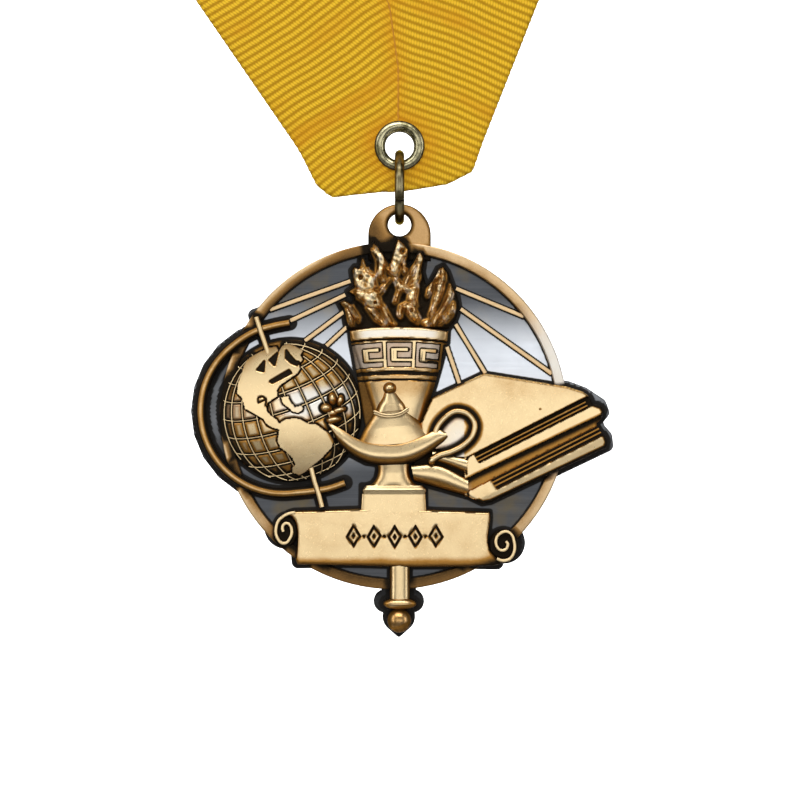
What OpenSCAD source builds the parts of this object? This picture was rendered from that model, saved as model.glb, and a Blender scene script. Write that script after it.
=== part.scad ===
// Academic medallion on a neck ribbon. Millimetres, +Z up, the medal's face looks along -Y.
// The origin is on the ribbon's inner face at the nape of the neck.
// Reliefs are drawn on the medal's own face: X right, Y up, Z out of the flat back.

/* [Medal] */
// Diameter of the round field with its rim
disc_d = 50.8; // [46:0.2:58]
// Thickness of the field
plate_t = 1.8; // [1.4:0.1:2.4]
// Thickness of the dark step that runs round the motifs
step_t = 1.4; // [1:0.1:1.7]
// Width of that step
step_w = 1.0; // [0.6:0.1:1.4]
// Width of the rim
rim_w = 1.5; // [1:0.1:2.2]
// Height of the rim over the field
rim_h = 0.8; // [0.4:0.1:1.2]

/* [Lug and ring] */
// Width of the half-round lug
lug_w = 9.2; // [8:0.2:11]
// Thickness of the lug
lug_t = 2.2; // [1.8:0.1:2.8]
// Diameter of the hole in the lug
hole_d = 3.4; // [3:0.1:4]
// Metal between the hole and the top of the lug
hole_wall = 1.3; // [0.9:0.1:1.6]
// Outer diameter of the jump ring
ring_d = 11; // [10.4:0.1:12.4]
// Thickness of the ring's wire
wire_d = 1.4; // [1:0.1:1.6]

/* [Rays] */
// Width of a raised ray
ray_w = 0.5; // [0.3:0.05:0.9]
// Height of a ray over the field
ray_h = 0.3; // [0.15:0.05:0.5]

/* [Globe] */
// Radius of the globe's outline
globe_r = 10.4; // [9:0.2:11.6]
// Sideways place of the globe's centre
globe_x = -15.1; // [-17:0.1:-14]
// Height of the globe's centre over the disc's
globe_y = 0.7; // [-1:0.1:2]
// Height of the globe's edge over the flat back
globe_edge = 2.4; // [2:0.1:3]
// Bulge of the globe over its edge
globe_rise = 1.7; // [1:0.1:2.4]
// Lean of the globe's axis
globe_tilt = 19; // [10:1:24]
// Height of the land over the sea
land_h = 0.25; // [0.15:0.05:0.5]
// Radius of the meridian arc
arc_r = 12.1; // [11.6:0.1:13]
// Thickness of the meridian arc
arc_w = 1.2; // [0.9:0.1:1.6]
// Length of the axis pin outside the globe
pin_l = 4.6; // [3.6:0.1:5.4]

/* [Torch] */
// Sideways place of the torch's axis
torch_x = 0.7; // [0:0.1:1.4]
// Height of the bowl's rim over the disc's centre
bowl_top = 12.6; // [11:0.1:14]
// Width of the bowl at its rim
bowl_w = 14; // [12:0.2:16]
// Width of the bowl where the lamp hides it
bowl_foot_w = 8.2; // [7:0.2:10]
// Height of the bowl
bowl_h = 13; // [12:0.2:14]
// Height of the plain band along the bowl's rim
band_h = 1.6; // [1.2:0.1:2]
// Height of the band that holds the key pattern
key_h = 3.7; // [3:0.1:4.2]
// Thickness of the bowl's raised line pattern
key_line = 0.3; // [0.2:0.05:0.4]
// Height of the tallest flame over the rim
flame_h = 13.3; // [11:0.1:14]
// Width of the fire
flame_w = 17.6; // [15:0.2:19]

/* [Lamp and pedestal] */
// Length of the lamp's bowl
lamp_w = 17.5; // [15:0.1:19]
// Height of the lamp's bowl and lid together
lamp_h = 11.8; // [10:0.1:13]
// Sideways place of the lamp's foot
lamp_x = -0.1; // [-0.6:0.1:0.6]
// Height of the bowl's lowest point under the disc's centre
lamp_drop = 6.9; // [6:0.1:7.4]
// Thickness of the lamp's handle
handle_d = 1.2; // [0.9:0.1:1.5]
// Width of the pedestal's block
block_w = 8.8; // [7.6:0.1:10]
// Width of the pedestal's neck
neck_w = 4.9; // [4:0.1:6]

/* [Books] */
// Width of the pair of books
books_w = 28.7; // [26:0.1:30]
// Height of the pair of books
books_h = 19; // [17:0.1:20.5]
// Sideways place of the books' left corner
books_x = 2.5; // [2:0.1:3.5]
// Height of the books' lowest corner under the disc's centre
books_drop = 12.8; // [12:0.1:13.4]

/* [Scroll and handle] */
// Width of the scroll's face
scroll_w = 29; // [26:0.2:31]
// Height of the scroll's face
scroll_h = 7.8; // [7:0.1:9]
// Height of the scroll's top under the disc's centre
scroll_drop = 13.8; // [13.2:0.1:14.6]
// Diameter of the rolled ends
curl_d = 4.2; // [3.4:0.1:5]
// Width of the handle's shaft
shaft_w = 2.7; // [2:0.1:3.4]
// Length of the handle under the scroll
shaft_l = 4.7; // [4:0.1:6]
// Width of the handle's collar
collar_w = 4.8; // [4:0.1:6]
// Width of the ball at the end of the handle
ball_d = 2.8; // [2.2:0.1:3.6]

/* [Eyelet] */
// Inner diameter of the eyelet
eye_d = 4.2; // [3.8:0.1:5]
// Outer diameter of its flanges
flange_d = 7.3; // [6.8:0.1:8.4]
// Thickness of the eyelet's metal
eye_wall = 0.45; // [0.3:0.05:0.6]

/* [Neck ribbon] */
// Width of the ribbon
ribbon_w = 25.4; // [22:0.2:28]
// Thickness of one layer of ribbon
ribbon_t = 1; // [1:0.1:1.2]
// Thickness where the two ends are sewn together
tip_t = 1.4; // [1.3:0.1:1.8]
// Lean of the left end from upright
lean_left = 34.5; // [30:0.5:38]
// Lean of the right end from upright
lean_right = 21.5; // [18:0.5:26]
// Ribbon under the eyelet's centre, at the middle of the tip
tip_tail = 6.8; // [6:0.1:7.4]
// Half width of the loop round the neck
loop_half = 78; // [70:1:86]
// Depth of the loop from the chest to the nape
loop_depth = 108; // [96:1:120]
// Height of the loop from the sewn tip to the nape
loop_h = 290; // [260:1:330]

/* [Hidden] */
$fn = 96;
// Running clearance between the ring and what it hangs in
ring_gap = 0.15;
lug_gap = 0.35;
// Clearance between the eyelet and the cloth
eye_gap = 0.05;
// How far the sewn tip stands proud of each strip's edges
selvedge = 0.1;
// How far one shape reaches into the next that it is cast with
bite = 0.4;
// Steps of a smooth section and of a smooth stretch
ARC_STEPS = 8;
LEG_STEPS = 27;

disc_r = disc_d / 2;
hole_r = hole_d / 2;
wire_r = wire_d / 2;
ring_in = ring_d / 2 - wire_d;
eye_r = eye_d / 2;
nose_r = tip_t / 2 + eye_gap + eye_wall;

// Smallest difference in height between neighbouring motifs
level = 0.1;
// Swell of the bowl and of the lamp over their edges
bowl_swell = 1.3;
lamp_swell = 1.9;
// Height of the books' cover over the pages
cover_h = 0.9;

// Heights over the flat back
rim_top = plate_t + rim_h;
bowl_edge = globe_edge;
bowl_crown = bowl_edge + bowl_swell;
lamp_edge = bowl_edge + 4 * level;
lamp_crown = lamp_edge + lamp_swell;
books_edge = globe_edge + 5 * level;
books_top = books_edge + cover_h;
scroll_top = books_edge + 6 * level;
arc_top = globe_edge + 9 * level;
// Height of the crotch's strips over the eyelet
tip_rise = 24;
// Depth of the medal's centre of mass over its flat back, which hangs under the ring
hang_in = 1.4;

// Places on the medal's face
hole_y = disc_r + lug_w / 2 + step_w - hole_r - hole_wall;
lug_x = torch_x + level;

// Places on the shared frame
front_y = -loop_depth;
eye_z = -loop_h - tip_rise;
ring_z = eye_z - eye_r + ring_gap - ring_in;
hole_z = ring_z - ring_in + lug_gap - hole_r;

// Plain helpers

function mix(a, b, t) = a + (b - a) * t;
function unit(v) = v / norm(v);
function scaled(points, w, h) = [for (p = points) [p[0] * w, p[1] * h]];

// Point of a smooth curve through rows of numbers, t counted in rows. Its slope at a row leans
// towards the nearer neighbour, so that unevenly spaced rows don't make it overshoot
function gap(rows, i) = norm(rows[i + 1] - rows[i]);
function slope(rows, i) =
    i == 0 ? (rows[1] - rows[0]) / gap(rows, 0)
    : i == len(rows) - 1 ? (rows[i] - rows[i - 1]) / gap(rows, i - 1)
    : let (a = gap(rows, i - 1), b = gap(rows, i))
        ((rows[i + 1] - rows[i]) * a / b + (rows[i] - rows[i - 1]) * b / a) / (a + b);
function smooth(rows, t) =
    let (i = min(floor(t), len(rows) - 2), f = t - i, d = gap(rows, i))
    rows[i] * (1 + f * f * (2 * f - 3)) + rows[i + 1] * f * f * (3 - 2 * f)
        + slope(rows, i) * d * f * (1 - f) * (1 - f) - slope(rows, i + 1) * d * f * f * (1 - f);

// Triangles that join equal rings of points, with both ends closed
function skin(rings, count) = concat(
    [for (i = [0 : rings - 2]) for (j = [0 : count - 1])
        let (a = i * count + j, b = i * count + (j + 1) % count)
            each [[a, a + count, b], [b, a + count, b + count]]],
    [for (j = [1 : count - 2]) [0, j, j + 1]],
    [for (j = [1 : count - 2]) let (e = (rings - 1) * count) [e, e + j + 1, e + j]]);

// A cast swell with a round crown, sunk a little deeper into the plate than its neighbours.
// Columns of a row: station, left, right, edge height, crown height
module swell(rows, sink) {
    ring = ARC_STEPS + 3;
    foot = step_t - bite - sink;
    points = [for (r = rows)
        let (mid = (r[1] + r[2]) / 2, half = (r[2] - r[1]) / 2)
            each concat(
                [[r[1], r[0], foot]],
                [for (i = [0 : ARC_STEPS]) let (a = 180 * i / ARC_STEPS)
                    [mid - half * cos(a), r[0], r[3] + (r[4] - r[3]) * sin(a)]],
                [[r[2], r[0], foot]])];
    polyhedron(points, skin(len(rows), ring), convexity = 4);
}

// The same swell with its stations along X. Columns: station, low, high, edge height, crown height
module swell_across(rows, sink) {
    rotate([0, 0, -90]) swell([for (r = rows) [r[0], -r[2], -r[1], r[3], r[4]]], sink);
}

// A raised shape with a flat top
module raised(top) {
    translate([0, 0, step_t - bite])
        linear_extrude(top - step_t + bite) children();
}

// A round-topped ridge along a path on the face, with round ends. Columns of a point: across, up
module ridge(path, r, top, sink) {
    last = len(path) - 1;
    first_way = unit(path[0] - path[1]);
    last_way = unit(path[last] - path[last - 1]);
    // Each row: point, way, half width
    rows = concat(
        [for (e = END_ROUND) [path[0] + first_way * r * e[0], -first_way, r * e[1]]],
        [for (i = [0 : last])
            [path[i], unit(path[min(i + 1, last)] - path[max(i - 1, 0)]), r]],
        [for (i = [len(END_ROUND) - 1 : -1 : 0]) let (e = END_ROUND[i])
            [path[last] + last_way * r * e[0], last_way, r * e[1]]]);
    points = [for (row = rows)
        let (side = [-row[1][1], row[1][0]] * row[2])
            each concat(
                [on_face(row[0] + side, step_t - bite - sink)],
                [for (i = [0 : RIDGE_ARC]) let (a = 180 * i / RIDGE_ARC)
                    on_face(row[0] + side * cos(a), top - r + row[2] * sin(a))],
                [on_face(row[0] - side, step_t - bite - sink)])];
    polyhedron(points, skin(len(rows), RIDGE_ARC + 3), convexity = 6);
}

function on_face(p, z) = [p[0], p[1], z];
// Rounding of a ridge's end: reach past its last point and half width, as shares of its half width
END_ROUND = [[0.95, 0.3], [0.6, 0.8]];
RIDGE_ARC = 6;

// A round head on a narrower stem
module post(p, r, top) {
    translate([p[0], p[1], top - r]) sphere(r);
    translate([p[0], p[1], step_t - bite]) cylinder(r = 0.8 * r, h = top - r - step_t + bite);
}

// Rays of light

// Columns: angle and radius of the outer end, angle and radius of the inner end, radii as disc shares
RAYS = [
    [139.5, 0.95, 108, 0.815],
    [137.5, 0.81, 112, 0.75],
    [140, 0.67, 115.5, 0.665],
    [134, 0.56, 117.5, 0.58],
    [37.5, 0.95, 64, 0.815],
    [15, 0.95, 58, 0.725],
    [25, 0.58, 56, 0.635],
    [26.5, 0.42, 52.5, 0.50]];

module rays() {
    for (r = RAYS) {
        a = disc_r * r[1] * [cos(r[0]), sin(r[0])];
        b = disc_r * r[3] * [cos(r[2]), sin(r[2])];
        intersection() {
            raised_ray(a, b);
            cylinder(r = disc_r - rim_w / 2, h = rim_top);
        }
    }
}

module raised_ray(a, b) {
    span = b - a;
    translate([a[0], a[1], plate_t - bite])
        rotate([0, 0, atan2(span[1], span[0])])
            translate([0, -ray_w / 2, 0]) cube([norm(span), ray_w, bite + ray_h]);
}

// Globe

module globe_place() {
    translate([globe_x, globe_y, 0]) children();
}

// The dome's sphere, whose cap has the globe's outline at its edge height
module dome(extra) {
    r = (globe_r * globe_r + globe_rise * globe_rise) / (2 * globe_rise);
    translate([0, 0, globe_edge + globe_rise - r]) sphere(r + extra);
}

// Land outlines as shares of the globe's radius
NORTH_LAND = [
    [-0.55, 0.62], [-0.30, 0.86], [0.02, 0.93], [0.30, 0.82], [0.14, 0.60], [0.02, 0.42],
    [-0.16, 0.22], [-0.20, 0.02], [0.02, -0.10], [0.16, -0.12], [0.02, -0.22], [-0.24, -0.06],
    [-0.52, 0.12], [-0.80, 0.26]];
SOUTH_LAND = [
    [-0.17, -0.17], [0.05, -0.11], [0.24, -0.15], [0.44, -0.26], [0.60, -0.42], [0.54, -0.56],
    [0.34, -0.76], [0.10, -0.87], [0.01, -0.82], [0.05, -0.68], [-0.12, -0.56], [-0.20, -0.38]];

module globe() {
    globe_place() {
        intersection() {
            dome(0);
            cylinder(r = globe_r, h = globe_edge + globe_rise);
        }
        for (land = [NORTH_LAND, SOUTH_LAND])
            intersection() {
                dome(land_h);
                linear_extrude(globe_edge + globe_rise + land_h)
                    polygon(scaled(land, globe_r, globe_r));
            }
    }
}

// Ends of the arc's round stretch, and how far it runs on straight past each
ARC_FROM = 115;
ARC_TO = 280;
ARC_TAIL = 0.5;
ARC_PARTS = 24;

function on_arc(a) = arc_r * [cos(a), sin(a)];
function arc_end(a, way) = on_arc(a) + way * arc_r * ARC_TAIL * [-sin(a), cos(a)];

module meridian() {
    translate([globe_x - globe_r / 10, globe_y, 0]) {
        ridge(concat(
            [arc_end(ARC_FROM, -1)],
            [for (i = [0 : ARC_PARTS]) on_arc(mix(ARC_FROM, ARC_TO, i / ARC_PARTS))],
            [arc_end(ARC_TO, 1)]), arc_w / 2, arc_top, level / 2);
    }
}

pin_r = arc_w * 0.42;

module pins() {
    globe_place()
        rotate([0, 0, globe_tilt])
            for (way = [-1, 1])
                ridge([[0, way * (globe_r - pin_l / 4)], [0, way * (globe_r + pin_l)]],
                    pin_r, arc_top + 3 * level, level);
}

// Torch

// Tongues of fire. Columns, as shares of the fire's width or height: foot, foot width, tip across,
// tip up, bow to the right, and height over the bowl's edge as a share of the deepest tongue's
TONGUES = [
    [-0.40, 0.15, -0.48, 0.33, -0.03, 0.70],
    [-0.35, 0.20, -0.38, 0.70, -0.03, 0.85],
    [-0.26, 0.22, -0.29, 0.80, -0.02, 0.65],
    [-0.17, 0.26, -0.20, 0.96, 0.03, 0.95],
    [0.00, 0.26, 0.00, 1.00, 0.02, 0.80],
    [0.13, 0.26, 0.18, 0.85, -0.02, 1.00],
    [0.27, 0.26, 0.37, 0.68, 0.03, 0.85],
    [0.36, 0.20, 0.48, 0.42, 0.03, 0.65]];
FIRE_STEPS = 7;
FIRE_DEPTH = 1.5;

// Outline of a tongue, its waist drawn in to a share of its width
function tongue(t, waist) =
    let (sides = [for (way = [-1, 1])
        [for (i = [0 : FIRE_STEPS]) let (s = i / FIRE_STEPS,
            mid = mix(t[0], t[2], s) + t[4] * 4 * s * (1 - s),
            half = waist * t[1] / 2 * (1 - 0.93 * pow(s, 1.6)))
            [(mid + way * half) * flame_w, s * t[3] * flame_h * (0.5 + waist / 2)]]])
    concat(sides[1], [for (i = [FIRE_STEPS : -1 : 0]) sides[0][i]]);

module fire_place() {
    translate([torch_x, bowl_top - band_h / 2, 0]) children();
}

module fire() {
    fire_place()
        for (t = TONGUES) {
            raised(bowl_edge + FIRE_DEPTH * t[5] / 2) polygon(tongue(t, 1));
            raised(bowl_edge + FIRE_DEPTH * t[5]) polygon(tongue(t, 0.45));
        }
}

module fire_outline() {
    fire_place() for (t = TONGUES) polygon(tongue(t, 1));
}

// Half width of the bowl and shift of its axis, a share s of the way down. Its sides curve out by a
// share of its width
BOWL_CURVE = 0.028;
function bowl_half(s) = mix(bowl_w, bowl_foot_w, s) / 2 + BOWL_CURVE * bowl_w * sin(180 * s);
function bowl_mid(s) = mix(0, lamp_x - torch_x, s);

module bowl_shape(from, to) {
    steps = 4;
    polygon(concat(
        [for (i = [0 : steps]) let (s = mix(from, to, i / steps))
            [bowl_mid(s) + bowl_half(s), -s * bowl_h]],
        [for (i = [steps : -1 : 0]) let (s = mix(from, to, i / steps))
            [bowl_mid(s) - bowl_half(s), -s * bowl_h]]));
}

// The bowl's round front: a drum on end, wide enough to bulge from edge to crown
module bowl_round(extra) {
    bulge = bowl_crown - bowl_edge;
    half = bowl_w / 2;
    r = (half * half + bulge * bulge) / (2 * bulge);
    translate([0, -bowl_h - bite, bowl_crown - r])
        rotate([-90, 0, 0]) cylinder(r = r + extra, h = bowl_h + 2 * bite, $fn = 200);
}

// One unit of the key pattern in a unit square, as bars: left, low, right, high
KEY = [
    [0.00, 0.86, 1.00, 1.00], [0.00, 0.00, 0.14, 1.00], [0.00, 0.00, 0.86, 0.14],
    [0.72, 0.00, 0.86, 0.62], [0.36, 0.48, 0.86, 0.62], [0.36, 0.28, 0.50, 0.62]];

module key_unit(w, h) {
    for (k = KEY)
        translate([k[0] * w, k[1] * h]) square([(k[2] - k[0]) * w, (k[3] - k[1]) * h]);
}

module bowl() {
    band = band_h / bowl_h;
    key_end = (band_h + key_h) / bowl_h;
    translate([torch_x, bowl_top, 0]) {
        intersection() {
            bowl_round(0);
            raised_tall() bowl_shape(0, 1);
        }
        intersection() {
            bowl_round(key_line);
            raised_tall() {
                bowl_shape(0, band);
                bowl_shape(key_end, key_end + 0.03);
                unit_w = bowl_w * 0.23;
                for (i = [-1, 0, 1])
                    translate([i * bowl_w * 0.29 - unit_w / 2, -band_h - key_h * 0.9])
                        key_unit(unit_w, key_h * 0.8);
            }
        }
    }
}

module raised_tall() {
    translate([0, 0, step_t - bite]) linear_extrude(bowl_crown + key_line) children();
}

// Lamp and pedestal

module lamp_place() {
    translate([lamp_x, -lamp_drop, 0]) children();
}

// The lamp's bowl, columns as shares of its length or of the lamp's height: across, low, high, swell
BOAT = [
    [-0.55, 0.44, 0.52, 0.30],
    [-0.45, 0.27, 0.45, 0.50],
    [-0.32, 0.11, 0.33, 0.75],
    [-0.18, 0.03, 0.25, 0.95],
    [0.00, 0.00, 0.22, 1.00],
    [0.18, 0.03, 0.27, 0.95],
    [0.32, 0.12, 0.36, 0.75],
    [0.42, 0.26, 0.42, 0.45]];
// The lid, columns as shares of the lamp's length or height: up, half width, swell
LID = [
    [0.20, 0.27, 0.60],
    [0.40, 0.255, 0.62],
    [0.52, 0.19, 0.58],
    [0.62, 0.13, 0.52],
    [0.64, 0.135, 0.62],
    [0.70, 0.115, 0.60],
    [0.80, 0.07, 0.50],
    [0.87, 0.03, 0.40]];

function lamp_z(swell) = mix(lamp_edge, lamp_crown, swell);

module lamp() {
    lamp_place() {
        swell_across([for (r = BOAT)
            [r[0] * lamp_w, r[1] * lamp_h, r[2] * lamp_h, lamp_edge, lamp_z(r[3])]], 1.5 * level);
        swell([for (r = LID)
            [r[0] * lamp_h, -r[1] * lamp_w, r[1] * lamp_w, lamp_edge - level, lamp_z(r[2])]], 2 * level);
        knob_r = lamp_w * 0.06;
        post([-knob_r / 2, lamp_h * 0.93], knob_r, lamp_crown);
    }
}

// The wick's flame, as round petals over the spout. Columns: across, up, radius, as shares of the length
PETALS = [[-0.52, 0.43, 0.035], [-0.50, 0.49, 0.035], [-0.455, 0.46, 0.04], [-0.47, 0.40, 0.04]];

module wick() {
    lamp_place()
        for (p = PETALS)
            post([p[0] * lamp_w, p[1] * lamp_w], p[2] * lamp_w, lamp_crown - 3 * level);
}

// The handle's loop, as shares of the lamp's length: across, up
LOOP = [
    [0.37, 0.30], [0.43, 0.38], [0.53, 0.43], [0.625, 0.40], [0.67, 0.30], [0.64, 0.18],
    [0.55, 0.11], [0.43, 0.07], [0.32, 0.02]];

module handle() {
    path = scaled(LOOP, lamp_w, lamp_w);
    parts = 3 * (len(path) - 1);
    lamp_place()
        ridge([for (i = [0 : parts]) smooth(path, i / 3)], handle_d / 2, lamp_crown - 5 * level,
            2.5 * level);
}

// The pedestal from the lamp's foot to the scroll. Columns: share of the drop, half width share, swell
PEDESTAL = [
    [0.00, 0.50, 0.20, 1.0],
    [0.42, 0.50, 0.20, 1.0],
    [0.43, 0.52, 0.45, 1.0],
    [0.60, 0.52, 0.45, 1.0],
    [0.61, 0.34, 0.30, 0.0],
    [0.80, 0.29, 0.30, 0.0],
    [1.08, 0.27, 0.30, 0.0]];

module pedestal() {
    drop = scroll_drop - lamp_drop;
    translate([lamp_x - 2 * level, -scroll_drop, 0])
        swell([for (r = PEDESTAL) let (half = r[1] * mix(neck_w / 0.54, block_w, r[3]))
            [r[0] * drop, -half, half, bowl_edge, mix(bowl_edge, bowl_crown, r[2]) + 3 * level]],
            3 * level);
}

// Books

BOOKS = [
    [0.00, 0.283], [0.05, 0.49], [0.05, 0.61], [0.10, 0.80], [0.375, 1.00], [0.80, 0.89],
    [0.88, 0.845], [0.965, 0.76], [0.98, 0.70], [0.945, 0.635], [0.96, 0.57], [0.995, 0.51],
    [1.00, 0.445], [0.38, 0.00], [0.28, 0.07], [0.02, 0.20]];
COVER = [
    [0.05, 0.47], [0.05, 0.61], [0.10, 0.80], [0.375, 1.00], [0.80, 0.89], [0.88, 0.845],
    [0.915, 0.80], [0.295, 0.345]];
COVER_EDGE = [[0.295, 0.25], [0.295, 0.295], [0.96, 0.755], [0.965, 0.715]];
LOW_COVER = [
    [0.02, 0.20], [0.28, 0.07], [0.38, 0.00], [1.00, 0.445], [0.995, 0.49], [0.385, 0.05], [0.29, 0.12],
    [0.03, 0.25]];

module books_place() {
    translate([books_x, -books_drop, 0]) children();
}

module books() {
    books_place() {
        raised(books_edge) polygon(scaled(BOOKS, books_w, books_h));
        raised(books_top) polygon(scaled(COVER, books_w, books_h));
        raised(books_edge + 5 * level) polygon(scaled(COVER_EDGE, books_w, books_h));
        raised(books_edge + 4 * level) polygon(scaled(LOW_COVER, books_w, books_h));
    }
}

// Scroll

// Outline of the scroll's face as shares of its width and height, from its top's middle
SCROLL = [
    [-0.52, -0.01], [-0.27, 0.02], [0.00, 0.03], [0.23, 0.01], [0.485, -0.01], [0.48, -0.30],
    [0.475, -0.56], [0.495, -0.78], [0.52, -1.00], [0.23, -0.98], [0.00, -0.97], [-0.27, -0.97],
    [-0.485, -0.98], [-0.49, -0.72], [-0.495, -0.50], [-0.515, -0.25]];
// Depth of the groove that winds into a rolled end
curl_dip = 5 * level;
// The rolled ends' centres, as shares of the face's width and height
CURLS = [[-0.55, -0.34], [0.557, -0.62]];

module scroll_place() {
    translate([0, -scroll_drop, 0]) children();
}

module scroll_outline() {
    polygon(scaled(SCROLL, scroll_w, scroll_h));
}

module curl_outline() {
    for (c = CURLS) translate([c[0] * scroll_w, c[1] * scroll_h]) circle(d = curl_d);
}

module scroll() {
    scroll_place() {
        raised(scroll_top) scroll_outline();
        difference() {
            raised(scroll_top + 2 * level) curl_outline();
            for (c = CURLS)
                translate([c[0] * scroll_w, c[1] * scroll_h, scroll_top - curl_dip])
                    difference() {
                        cylinder(d = curl_d * 0.72, h = 2 * curl_dip);
                        cylinder(d = curl_d * 0.34, h = 2 * curl_dip);
                    }
        }
    }
}

// Handle under the scroll

shaft_y = -scroll_drop - scroll_h;
collar_h = collar_w * 0.38;
// The plate's pointed end reaches this far under the ball's centre
point_l = ball_d * 0.95;
ball_y = shaft_y - shaft_l - collar_h - ball_d / 2 + level;

module shaft() {
    top = scroll_top - 2 * level;
    translate([torch_x, 0, 0]) {
        ridge([[0, shaft_y + bite], [0, shaft_y - shaft_l]], shaft_w / 2, top, level / 2);
        ridge([[collar_h / 2 - collar_w / 2, shaft_y - shaft_l - collar_h / 2],
            [collar_w / 2 - collar_h / 2, shaft_y - shaft_l - collar_h / 2]],
            collar_h / 2, top + 4 * level, level);
        post([0, ball_y], ball_d / 2, top + 4 * level);
    }
}

// The dark plate behind the handle, with its own rounded collar and pointed end
module shaft_plate() {
    translate([torch_x, 0]) {
        translate([-shaft_w / 2 - step_w * 1.2, shaft_y - shaft_l - collar_h / 2])
            square([shaft_w + step_w * 2.4, shaft_l + collar_h + bite]);
        hull()
            for (side = [-1, 1])
                translate([side * (collar_w / 2 - bite), shaft_y - shaft_l - collar_h / 2])
                    circle(collar_h / 2 + step_w * 0.8, $fn = 32);
        hull() {
            translate([0, ball_y]) circle(ball_d / 2 + step_w, $fn = 40);
            translate([0, ball_y - point_l]) circle(bite, $fn = 16);
        }
    }
}

// The whole casting

module motif_outline() {
    globe_place() circle(globe_r);
    translate([globe_x - globe_r / 10, globe_y]) {
        circle(arc_r + arc_w / 2);
        for (e = [[ARC_FROM, -1], [ARC_TO, 1]])
            hull() {
                translate(on_arc(e[0])) circle(arc_w / 2, $fn = 24);
                translate(arc_end(e[0], e[1])) circle(arc_w / 2, $fn = 24);
            }
    }
    globe_place()
        rotate([0, 0, globe_tilt])
            translate([-pin_r, -globe_r - pin_l]) square([2 * pin_r, 2 * (globe_r + pin_l)]);
    fire_outline();
    books_place() polygon(scaled(BOOKS, books_w, books_h));
    scroll_place() {
        scroll_outline();
        curl_outline();
    }
}

module lug() {
    difference() {
        hull() {
            translate([lug_x, hole_y + hole_r + hole_wall - lug_w / 2, 0])
                cylinder(d = lug_w, h = lug_t, $fn = 64);
            translate([lug_x - lug_w / 2, disc_r - 2 * rim_w, 0]) cube([lug_w, rim_w, lug_t]);
        }
        translate([lug_x, hole_y, -bite]) cylinder(r = hole_r, h = lug_t + 2 * bite);
    }
}

module casting() {
    difference() {
        union() {
            cylinder(r = disc_r, h = plate_t);
            linear_extrude(step_t) {
                offset(r = step_w, $fn = 24) motif_outline();
                shaft_plate();
            }
            difference() {
                cylinder(r = disc_r, h = rim_top);
                translate([0, 0, plate_t]) cylinder(r = disc_r - rim_w, h = rim_top);
            }
            rays();
        }
        translate([lug_x, hole_y, -bite]) cylinder(r = hole_r, h = lug_t + 2 * bite);
    }
    lug();
    globe();
    meridian();
    pins();
    bowl();
    fire();
    books();
    pedestal();
    lamp();
    wick();
    handle();
    scroll();
    shaft();
}

module medallion() {
    color("peru")
        translate([-lug_x, front_y + hang_in, hole_z - hole_y])
            rotate([90, 0, 0]) casting();
}

// Ring, eyelet and ribbon

module jump_ring() {
    color("goldenrod")
        translate([0, front_y, ring_z])
            rotate([0, 90, 0])
                rotate_extrude() translate([ring_in + wire_r, 0]) circle(wire_r);
}

module eyelet() {
    color("darkgoldenrod")
        translate([0, front_y, eye_z])
            rotate([90, 0, 0])
                rotate_extrude()
                    difference() {
                        union() {
                            translate([eye_r + nose_r, 0]) circle(nose_r);
                            translate([eye_r + nose_r, -nose_r]) square(2 * nose_r);
                        }
                        translate([eye_r + eye_wall, -tip_t / 2 - eye_gap])
                            square([flange_d, tip_t + 2 * eye_gap]);
                        translate([flange_d / 2, -2 * nose_r]) square(4 * nose_r);
                    }
}

// Directions along and across each end of the ribbon: side is -1 on the left, 1 on the right
function lean(side) = side < 0 ? lean_left : lean_right;
function along(side) = [side * sin(lean(side)), cos(lean(side))];
function across(side) = [side * cos(lean(side)), -sin(lean(side))];

// Lower corners of the sewn tip, from the eyelet's centre
corner_left = [-ribbon_w * 0.43, -tip_tail * 0.9];
corner_right = [ribbon_w * 0.41, -tip_tail * 0.58];
function corner(side) = side < 0 ? corner_left : corner_right;

// The inner edges start one ribbon width in from the outer ones and meet at the crotch
inner_left = corner_left - ribbon_w * across(-1);
inner_right = corner_right - ribbon_w * across(1);
function cross2(a, b) = a[0] * b[1] - a[1] * b[0];
crotch = inner_left + along(-1)
    * cross2(inner_right - inner_left, along(1)) / cross2(along(-1), along(1));
function leg_start(side) = crotch + across(side) * ribbon_w / 2;

// Rows on the straight stretch that is sewn into the tip, as shares of the ribbon's width
STRAIGHT = [0.05, 0.5, 1.1];
// How far the sewn part runs up each strip, as a share of the ribbon's width
PRONG = 0.2;

// The way from the tip to the nape. Columns as shares of the loop's half width, depth and height:
// out on the left, out on the right, back, up, and how far the ribbon has turned from flat on the
// chest to upright on the neck
ROUTE = [
    [0.64, 0.43, 0.01, 0.22, 0.00],
    [0.90, 0.73, 0.05, 0.43, 0.04],
    [1.00, 0.96, 0.16, 0.66, 0.18],
    [1.00, 1.00, 0.40, 0.86, 0.60],
    [0.82, 0.82, 0.74, 0.97, 0.90],
    [0.45, 0.45, 0.95, 1.00, 1.00]];

function leg_rows(side) = concat(
    [for (s = STRAIGHT) let (p = leg_start(side) + along(side) * ribbon_w * s)
        [p[0], front_y, eye_z + p[1], 0]],
    [for (r = ROUTE) let (out = side < 0 ? r[0] : r[1])
        [side * out * loop_half, front_y * (1 - r[2]), -loop_h * (1 - r[3]), r[4]]],
    [[0, ribbon_t / 2, 0, 1]]);

leg_left = leg_rows(-1);
leg_right = leg_rows(1);
loop_rows = concat(leg_left, [for (i = [len(leg_right) - 2 : -1 : 0]) leg_right[i]]);
loop_last = len(loop_rows) - 1;
loop_stations = [for (i = [0 : 2 * LEG_STEPS]) smooth(loop_rows, loop_last * i / (2 * LEG_STEPS))];

function place(s) = [s[0], s[1], s[2]];
function heading(i) = unit(place(loop_stations[min(i + 1, 2 * LEG_STEPS)])
    - place(loop_stations[max(i - 1, 0)]));

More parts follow.
